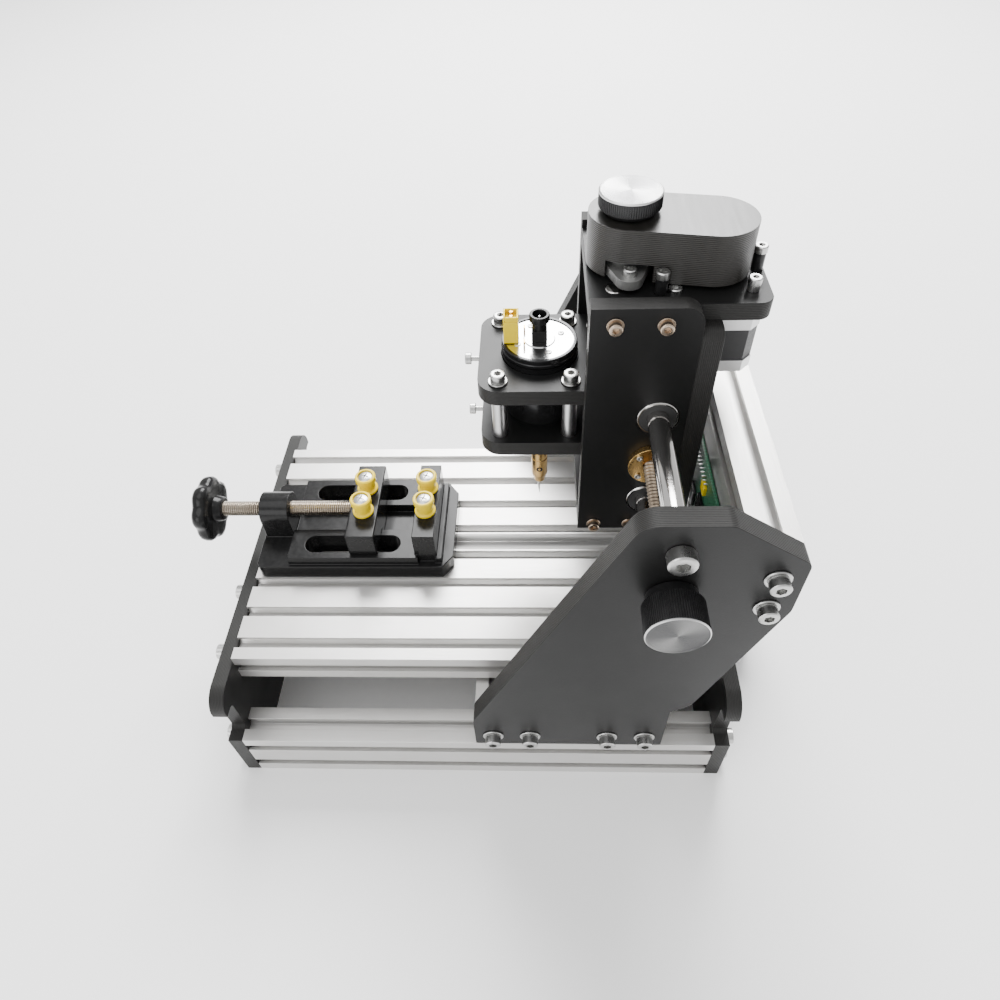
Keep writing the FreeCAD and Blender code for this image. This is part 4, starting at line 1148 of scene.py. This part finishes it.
class ROUTER_OT_spindle(RouterOperator, bpy.types.Operator):
    """Spindle motor, its connections, standoffs, collet and cutter"""
    bl_idname = "router.spindle"
    bl_label = "Spindle"

    def execute(self, context):
        self.can()
        self.cap()
        self.jack()
        self.connector()
        worked("standoffs", [finish("bright_metal")], sizes().metal_edge)
        self.collet()
        self.cutter()
        dress("spindle_shaft", finish("ground", "Z"))
        return {"FINISHED"}

    def axis_of(self, node):
        low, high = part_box(node)
        return (low.x + high.x) / 2, (low.y + high.y) / 2, low.z, high.z, (high.x - low.x) / 2

    def can(self):
        x, y, low, high, radius = self.axis_of("spindle_motor")
        mesh = bmesh.new()
        tall = high - low
        step_in = 4 * MM
        turned(mesh, [(0, 2 * MM), (0, 6 * MM), (0.3 * MM, 6.3 * MM), (step_in, 6.3 * MM),
                      (step_in, radius - 0.6 * MM), (step_in + 0.6 * MM, radius),
                      (tall - 2.4 * MM, radius), (tall - 2.4 * MM, radius - 0.7 * MM),
                      (tall - 1.6 * MM, radius - 0.7 * MM), (tall - 1.6 * MM, radius),
                      (tall - 0.5 * MM, radius), (tall, radius - 0.5 * MM), (tall, 0)],
               (x, y, low), UP, 96)
        piece("spindle_can", mesh, "spindle_motor", [finish("dark_can")], crease=30.0)

    def cap(self):
        """The end cap: a raised ring round a polished centre, four screws and two brass tabs."""
        x, y, low, high, radius = self.axis_of("spindle_cap")
        tall = high - low
        ledge = radius - 1.6 * MM
        well = tall - 0.5 * MM
        mesh = bmesh.new()
        turned(mesh, [(0, 0), (0, radius), (tall - 0.4 * MM, radius), (tall, radius - 0.4 * MM),
                      (tall, ledge), (well, ledge)], (x, y, low), UP, 96)
        turned(mesh, [(well, ledge), (well, 7.4 * MM), (tall, 7.0 * MM), (tall, 0)],
               (x, y, low), UP, 96, slot=2)
        bmesh.ops.remove_doubles(mesh, verts=mesh.verts, dist=1e-7)
        for turn in range(4):
            angle = math.radians(22 + 90 * turn)
            reach = 0.62 * radius
            foot = (x + reach * math.cos(angle), y + reach * math.sin(angle), low + well)
            turned(mesh, [(0, 0), (0, 1.5 * MM), (0.25 * MM, 1.5 * MM), (0.4 * MM, 1.2 * MM),
                          (0.4 * MM, polygon(6, 0.7 * MM)), (0.1 * MM, polygon(6, 0.7 * MM)),
                          (0.1 * MM, 0)], foot, UP, 24, slot=1)
        for side in (-1, 1):
            lug = Vector((x + side * 5.6 * MM, y - 7.0 * MM, low + well))
            brick(mesh, lug - Vector((1.2, 0.4, 0)) * MM, lug + Vector((1.2, 0.4, 3.2)) * MM, 3)
        piece("spindle_end_cap", mesh, "spindle_cap",
              [finish("dark_can"), finish("bright_metal"), finish("polished"),
               finish("turned_brass")], crease=30.0)

    def jack(self):
        """Power jack: a square foot, a neck and an open round socket with its pin."""
        x, y, low, high, _ = self.axis_of("power_jack")
        tall = high - low
        mesh = bmesh.new()
        half = 3.6 * MM
        brick(mesh, (x - half, y - half, low), (x + half, y + half, low + 6 * MM))
        turned(mesh, [(6 * MM, 3.4 * MM), (tall - 4.2 * MM, 3.2 * MM), (tall - 3.4 * MM, 4.7 * MM),
                      (tall - 0.3 * MM, 4.7 * MM), (tall, 4.4 * MM), (tall, 3.3 * MM),
                      (tall - 0.3 * MM, 3.0 * MM), (tall - 6 * MM, 3.0 * MM), (tall - 6 * MM, 0)],
               (x, y, low), UP, 48)
        turned(mesh, [(tall - 6 * MM, 0.7 * MM), (tall - 1.4 * MM, 0.7 * MM), (tall - 1.0 * MM, 0)],
               (x, y, low), UP, 16, slot=1)
        piece("power_socket", mesh, "power_jack",
              [finish("moulding", "moulded"), finish("bright_metal")], edge=sizes().metal_edge)

    def connector(self):
        """Yellow connector with two bullet contacts in its recessed top."""
        low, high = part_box("power_connector")
        wall = 0.9 * MM
        sunk = high.z - 2.5 * MM
        mesh = bmesh.new()
        brick(mesh, low, Vector((high.x, high.y, sunk)))
        for start, stop in (((low.x, low.y), (high.x, low.y + wall)),
                            ((low.x, high.y - wall), (high.x, high.y)),
                            ((low.x, low.y + wall), (low.x + wall, high.y - wall)),
                            ((high.x - wall, low.y + wall), (high.x, high.y - wall))):
            brick(mesh, (*start, sunk), (*stop, high.z))
        for side in (-1, 1):
            centre = ((low.x + high.x) / 2 + side * 1.7 * MM, (low.y + high.y) / 2, sunk)
            turned(mesh, [(0, 0), (0, 1.1 * MM), (2.0 * MM, 1.1 * MM), (2.3 * MM, 0.7 * MM),
                          (2.3 * MM, 0)], centre, UP, 20, slot=1)
        piece("power_plug", mesh, "power_connector",
              [finish("moulding", "yellow"), finish("turned_brass")], edge=sizes().metal_edge)

    def collet(self):
        """Brass collet with a tapered nose and two grub screws."""
        x, y, low, high, radius = self.axis_of("collet")
        tall = high - low
        mesh = bmesh.new()
        nose = 5 * MM
        bore = 1.65 * MM
        ring = 0.55 * tall
        turned(mesh, [(0, bore), (0, radius - 1.3 * MM), (nose, radius - 0.15 * MM),
                      (nose + 0.3 * MM, radius), (ring, radius),
                      (ring + 0.3 * MM, radius - 0.3 * MM),
                      (ring + 1.0 * MM, radius - 0.3 * MM),
                      (ring + 1.3 * MM, radius), (tall - 0.5 * MM, radius),
                      (tall, radius - 0.5 * MM), (tall, bore), (0, bore)],
               (x, y, low), UP, 64)
        for share in (0.36, 0.78):
            turned(mesh, [(0, 1.7 * MM), (0.06 * MM, 1.5 * MM), (0.06 * MM, polygon(6, 0.9 * MM)),
                          (-1.2 * MM, polygon(6, 0.9 * MM)), (-1.2 * MM, 0)],
                   (x + radius - 0.02 * MM, y, low + share * tall), (1, 0, 0), 24, slot=1)
        bmesh.ops.remove_doubles(mesh, verts=mesh.verts, dist=1e-7)
        piece("brass_collet", mesh, "collet", [finish("turned_brass"), finish("black_metal")],
              crease=30.0)

    def cutter(self):
        """Engraving cutter: a round shank whose tip is ground to a half cone."""
        x, y, low, high, radius = self.axis_of("cutter")
        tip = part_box("collet")[0].z - low
        mesh = bmesh.new()

        def half_round(share):
            def reach(angle):
                depth = 0.15 + 0.85 * abs(math.cos(angle / 2 + 0.6))
                return radius * share * depth
            return reach

        turned(mesh, [(0, 0.12 * radius), (tip * 0.45, half_round(0.55)),
                      (tip * 0.85, half_round(0.98)), (tip, radius), (high - low, radius),
                      (high - low, 0)], (x, y, low), UP, 32)
        piece("engraving_cutter", mesh, "cutter", [finish("ground", "Z")], crease=30.0)


class ROUTER_OT_belt_drive(RouterOperator, bpy.types.Operator):
    """Toothed pulleys and the belt under the cover"""
    bl_idname = "router.belt_drive"
    bl_label = "Belt drive"

    def execute(self, context):
        for node in ("z_pulley", "z_motor_pulley"):
            worked(node, [finish("bright_metal")], sizes().metal_edge, crease=40.0)
        dress("timing_belt", finish("rubber"))
        return {"FINISHED"}


class ROUTER_OT_vise(RouterOperator, bpy.types.Operator):
    """Screw vise: moulded base and jaw, yellow pins, screw and lobed knob"""
    bl_idname = "router.vise"
    bl_label = "Vise"

    def execute(self, context):
        black = finish("moulding", "moulded")
        for node in ("vise_base", "vise_moving_jaw"):
            worked(node, [black], sizes().moulded_edge, crease=40.0, steps=3)
        for node in ("vise_pins_fixed", "vise_pins_moving"):
            self.pins(node)
        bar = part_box("vise_screw")
        start = (bar[0] + bar[1]) / 2
        start.y = bar[0].y
        threaded("vise_thread", "vise_screw", start, (0, 1, 0), bar[1].y - bar[0].y,
                 (bar[1].x - bar[0].x) / 2, sizes().vise_pitch, sizes().vise_depth, 1,
                 finish("bright_thread"))
        self.hand_knob(black)
        return {"FINISHED"}

    def pins(self, node):
        """Waisted yellow pins, each with a cross-recess screw in its top."""
        mesh = bmesh.new()
        for item in (Round(points, 2) for points in solids(node)):
            if item.high.z - item.low.z < 3 * MM:
                continue
            radius, tall = item.radius, item.high.z - item.low.z
            foot = (item.middle.x, item.middle.y, item.low.z)
            waist = 0.80 * radius
            turned(mesh, [(0, 0), (0, radius - 0.3 * MM), (0.3 * MM, radius), (1.4 * MM, radius),
                          (2.2 * MM, waist), (tall - 4.6 * MM, waist), (tall - 3.4 * MM, radius),
                          (tall - 0.6 * MM, radius), (tall, radius - 0.6 * MM),
                          (tall, radius - 1.5 * MM), (tall - 1.3 * MM, radius - 1.8 * MM),
                          (tall - 1.3 * MM, 0)], foot, UP, 56)
            head = radius - 2.0 * MM
            turned(mesh, [(tall - 1.3 * MM, head), (tall - 0.7 * MM, head), (tall - 0.15 * MM, 0.7 * head),
                          (tall - 0.1 * MM, self.cross(0.62 * head)),
                          (tall - 1.1 * MM, self.cross(0.50 * head)), (tall - 1.1 * MM, 0)],
                   foot, UP, 64, slot=1)
        piece(node + "_turned", mesh, node,
              [finish("moulding", "yellow"), finish("plated", "zinc")])

    def cross(self, reach):
        """The outline of a cross recess, as a radius at each angle."""
        def radius(angle):
            lobe = abs(math.cos(2 * angle + 0.7))
            return reach * (0.30 + 0.70 * lobe ** 6)
        return radius

    def hand_knob(self, black):
        """Lobed knob: rounded grips, a dished front and a boss behind."""
        low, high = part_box("vise_knob")
        screw_low, screw_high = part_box("vise_screw")
        x, z = (screw_low.x + screw_high.x) / 2, (screw_low.z + screw_high.z) / 2
        span = high.y - low.y
        outer = (high.z - low.z) / 2

        def lobes(share):
            def reach(angle):
                valley = ((1 + math.cos(7 * angle)) / 2) ** 1.6
                return outer * share * (1 - 0.105 * valley)
            return reach

        mesh = bmesh.new()
        rings = [(0.10, 0.0), (0.10, 0.40), (0.06, 0.62), (0.0, 0.78), (0.03, 0.90), (0.14, 0.97),
                 (0.30, 1.0), (0.48, 1.0), (0.60, 0.95), (0.66, 0.84), (0.64, 0.60)]
        turned(mesh, [(share * span, lobes(reach) if reach > 0.5 else reach * outer)
                      for share, reach in rings]
               + [(0.66 * span, 0.42 * outer), (0.96 * span, 0.36 * outer),
                  (span, 0.33 * outer), (span, 0.20 * outer), (0.9 * span, 0.20 * outer),
                  (0.9 * span, 0)], (x, low.y, z), (0, 1, 0), 112)
        piece("vise_hand_knob", mesh, "vise_knob", [black], crease=60.0)


class ROUTER_OT_controller(RouterOperator, bpy.types.Operator):
    """Controller board with its chips, heat sink, capacitors and header pins"""
    bl_idname = "router.controller"
    bl_label = "Controller board"

    def execute(self, context):
        node = "controller_board"
        low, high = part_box(node)
        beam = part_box("back_beam")[0]
        back = beam.y - 3 * MM
        face = back - 1.6 * MM
        mesh = bmesh.new()
        brick(mesh, (low.x, face, low.z), (high.x, back, high.z))
        for x in (low.x + 4 * MM, high.x - 4 * MM):
            turned(mesh, [(0, 0), (0, 2.8 * MM), (3 * MM, 2.8 * MM), (3 * MM, 0)],
                   (x, back, beam.z + 5 * MM), (0, 1, 0), 24, slot=2)
        for x, z, wide, tall in ((8, 6, 9, 9), (22, 12, 10, 10), (40, 8, 7, 12), (24, 28, 6, 5),
                                 (44, 27, 8, 6)):
            slot = 3 if (x, z) == (24, 28) else 1
            brick(mesh, (low.x + x * MM, face - 1.6 * MM, low.z + z * MM),
                  (low.x + (x + wide) * MM, face, low.z + (z + tall) * MM), slot)
        for column in range(10):
            x = low.x + (6 + 2.54 * column) * MM
            brick(mesh, (x, face - 2.0 * MM, low.z + 35 * MM),
                  (x + 0.7 * MM, face, low.z + 35.7 * MM), 2)
        for column in range(6):
            x = low.x + (8 + 1.5 * column) * MM
            brick(mesh, (x, face - 2.1 * MM, low.z + 6 * MM),
                  (x + 0.6 * MM, face - 1.6 * MM, low.z + 15 * MM), 2)
        piece("circuit_board", mesh, node,
              [finish("circuit"), finish("moulding", "moulded"), finish("bright_metal"),
               finish("moulding", "yellow")], edge=0.12 * MM, steps=1)
        return {"FINISHED"}


class ROUTER_OT_stage(RouterOperator, bpy.types.Operator):
    """Pale floor, soft lights and the camera"""
    bl_idname = "router.stage"
    bl_label = "Stage"

    def execute(self, context):
        self.floor()
        self.lights()
        self.camera()
        return {"FINISHED"}

    def floor(self):
        half = 3.0
        data = bpy.data.meshes.new("floor")
        data.from_pydata([(-half, -half, 0), (half, -half, 0), (half, half, 0), (-half, half, 0)],
                         [], [(0, 1, 2, 3)])
        data.materials.append(finish("studio_floor"))
        item = bpy.data.objects.new("floor", data)
        show(item)

    def lights(self):
        world = bpy.data.worlds.new("studio")
        world.use_nodes = True
        shade = world.node_tree.nodes["Background"]
        shade.inputs["Color"].default_value = (1.0, 1.0, 1.0, 1.0)
        shade.inputs["Strength"].default_value = 1.0
        bpy.context.scene.world = world
        target = Vector((0, 0, 0.12))
        for name, place, width, power in (("panel", (-1.5, 0.1, 1.6), 1.3, 135.0),
                                          ("overhead", (0.3, -0.4, 1.6), 1.2, 12.0),
                                          ("side", (1.5, -0.9, 0.7), 1.0, 12.0)):
            lamp = bpy.data.lights.new(name, "AREA")
            lamp.size = width
            lamp.energy = power
            item = bpy.data.objects.new(name, lamp)
            item.location = place
            item.rotation_euler = (target - Vector(place)).to_track_quat("-Z", "Y").to_euler()
            show(item)

    def camera(self):
        """A near, high view from beyond the hand knob's side, with the bed running across."""
        place = Vector((0.2714, 0.0345, 0.4362))
        azimuth, elevation, roll = math.radians(3.72), math.radians(47.50), math.radians(-3.06)
        forward = Vector((-math.cos(azimuth) * math.cos(elevation),
                          -math.sin(azimuth) * math.cos(elevation), -math.sin(elevation)))
        level = Vector((-math.sin(azimuth), math.cos(azimuth), 0))
        upright = level.cross(forward)
        right = math.cos(roll) * level + math.sin(roll) * upright
        up = -math.sin(roll) * level + math.cos(roll) * upright
        lens = bpy.data.cameras.new("camera")
        lens.lens = 26.18
        lens.sensor_width = 36.0
        lens.shift_x = -0.0040
        lens.shift_y = -0.0196
        lens.clip_start = 0.01
        item = bpy.data.objects.new("camera", lens)
        turn = Matrix((right, up, -forward)).transposed()
        item.matrix_world = Matrix.Translation(place) @ turn.to_4x4()
        show(item)
        bpy.context.scene.camera = item


STEPS = (ROUTER_OT_stage, ROUTER_OT_extrusions, ROUTER_OT_boards, ROUTER_OT_rods,
         ROUTER_OT_lead_screws, ROUTER_OT_bearings, ROUTER_OT_motors, ROUTER_OT_knobs,
         ROUTER_OT_fasteners, ROUTER_OT_spindle, ROUTER_OT_belt_drive, ROUTER_OT_vise,
         ROUTER_OT_controller)


class ROUTER_PT_panel(bpy.types.Panel):
    """Lists the router's operators and settings"""
    bl_label = "Router"
    bl_idname = "ROUTER_PT_panel"
    bl_space_type = "VIEW_3D"
    bl_region_type = "UI"
    bl_category = "Router"

    def draw(self, context):
        for operator in STEPS:
            self.layout.operator(operator.bl_idname)
        for settings in (context.scene.router_sizes, context.scene.router_colours):
            box = self.layout.box()
            for name in settings.__annotations__:
                box.prop(settings, name)


CLASSES = (RouterSizes, RouterColours, *STEPS, ROUTER_PT_panel)


def register():
    for entry in CLASSES:
        bpy.utils.register_class(entry)
    bpy.types.Scene.router_sizes = bpy.props.PointerProperty(type=RouterSizes)
    bpy.types.Scene.router_colours = bpy.props.PointerProperty(type=RouterColours)


def unregister():
    del bpy.types.Scene.router_colours
    del bpy.types.Scene.router_sizes
    for entry in reversed(CLASSES):
        bpy.utils.unregister_class(entry)


def main():
    register()
    for operator in STEPS:
        group, name = operator.bl_idname.split(".")
        getattr(getattr(bpy.ops, group), name)()


if __name__ == "__main__":
    main()
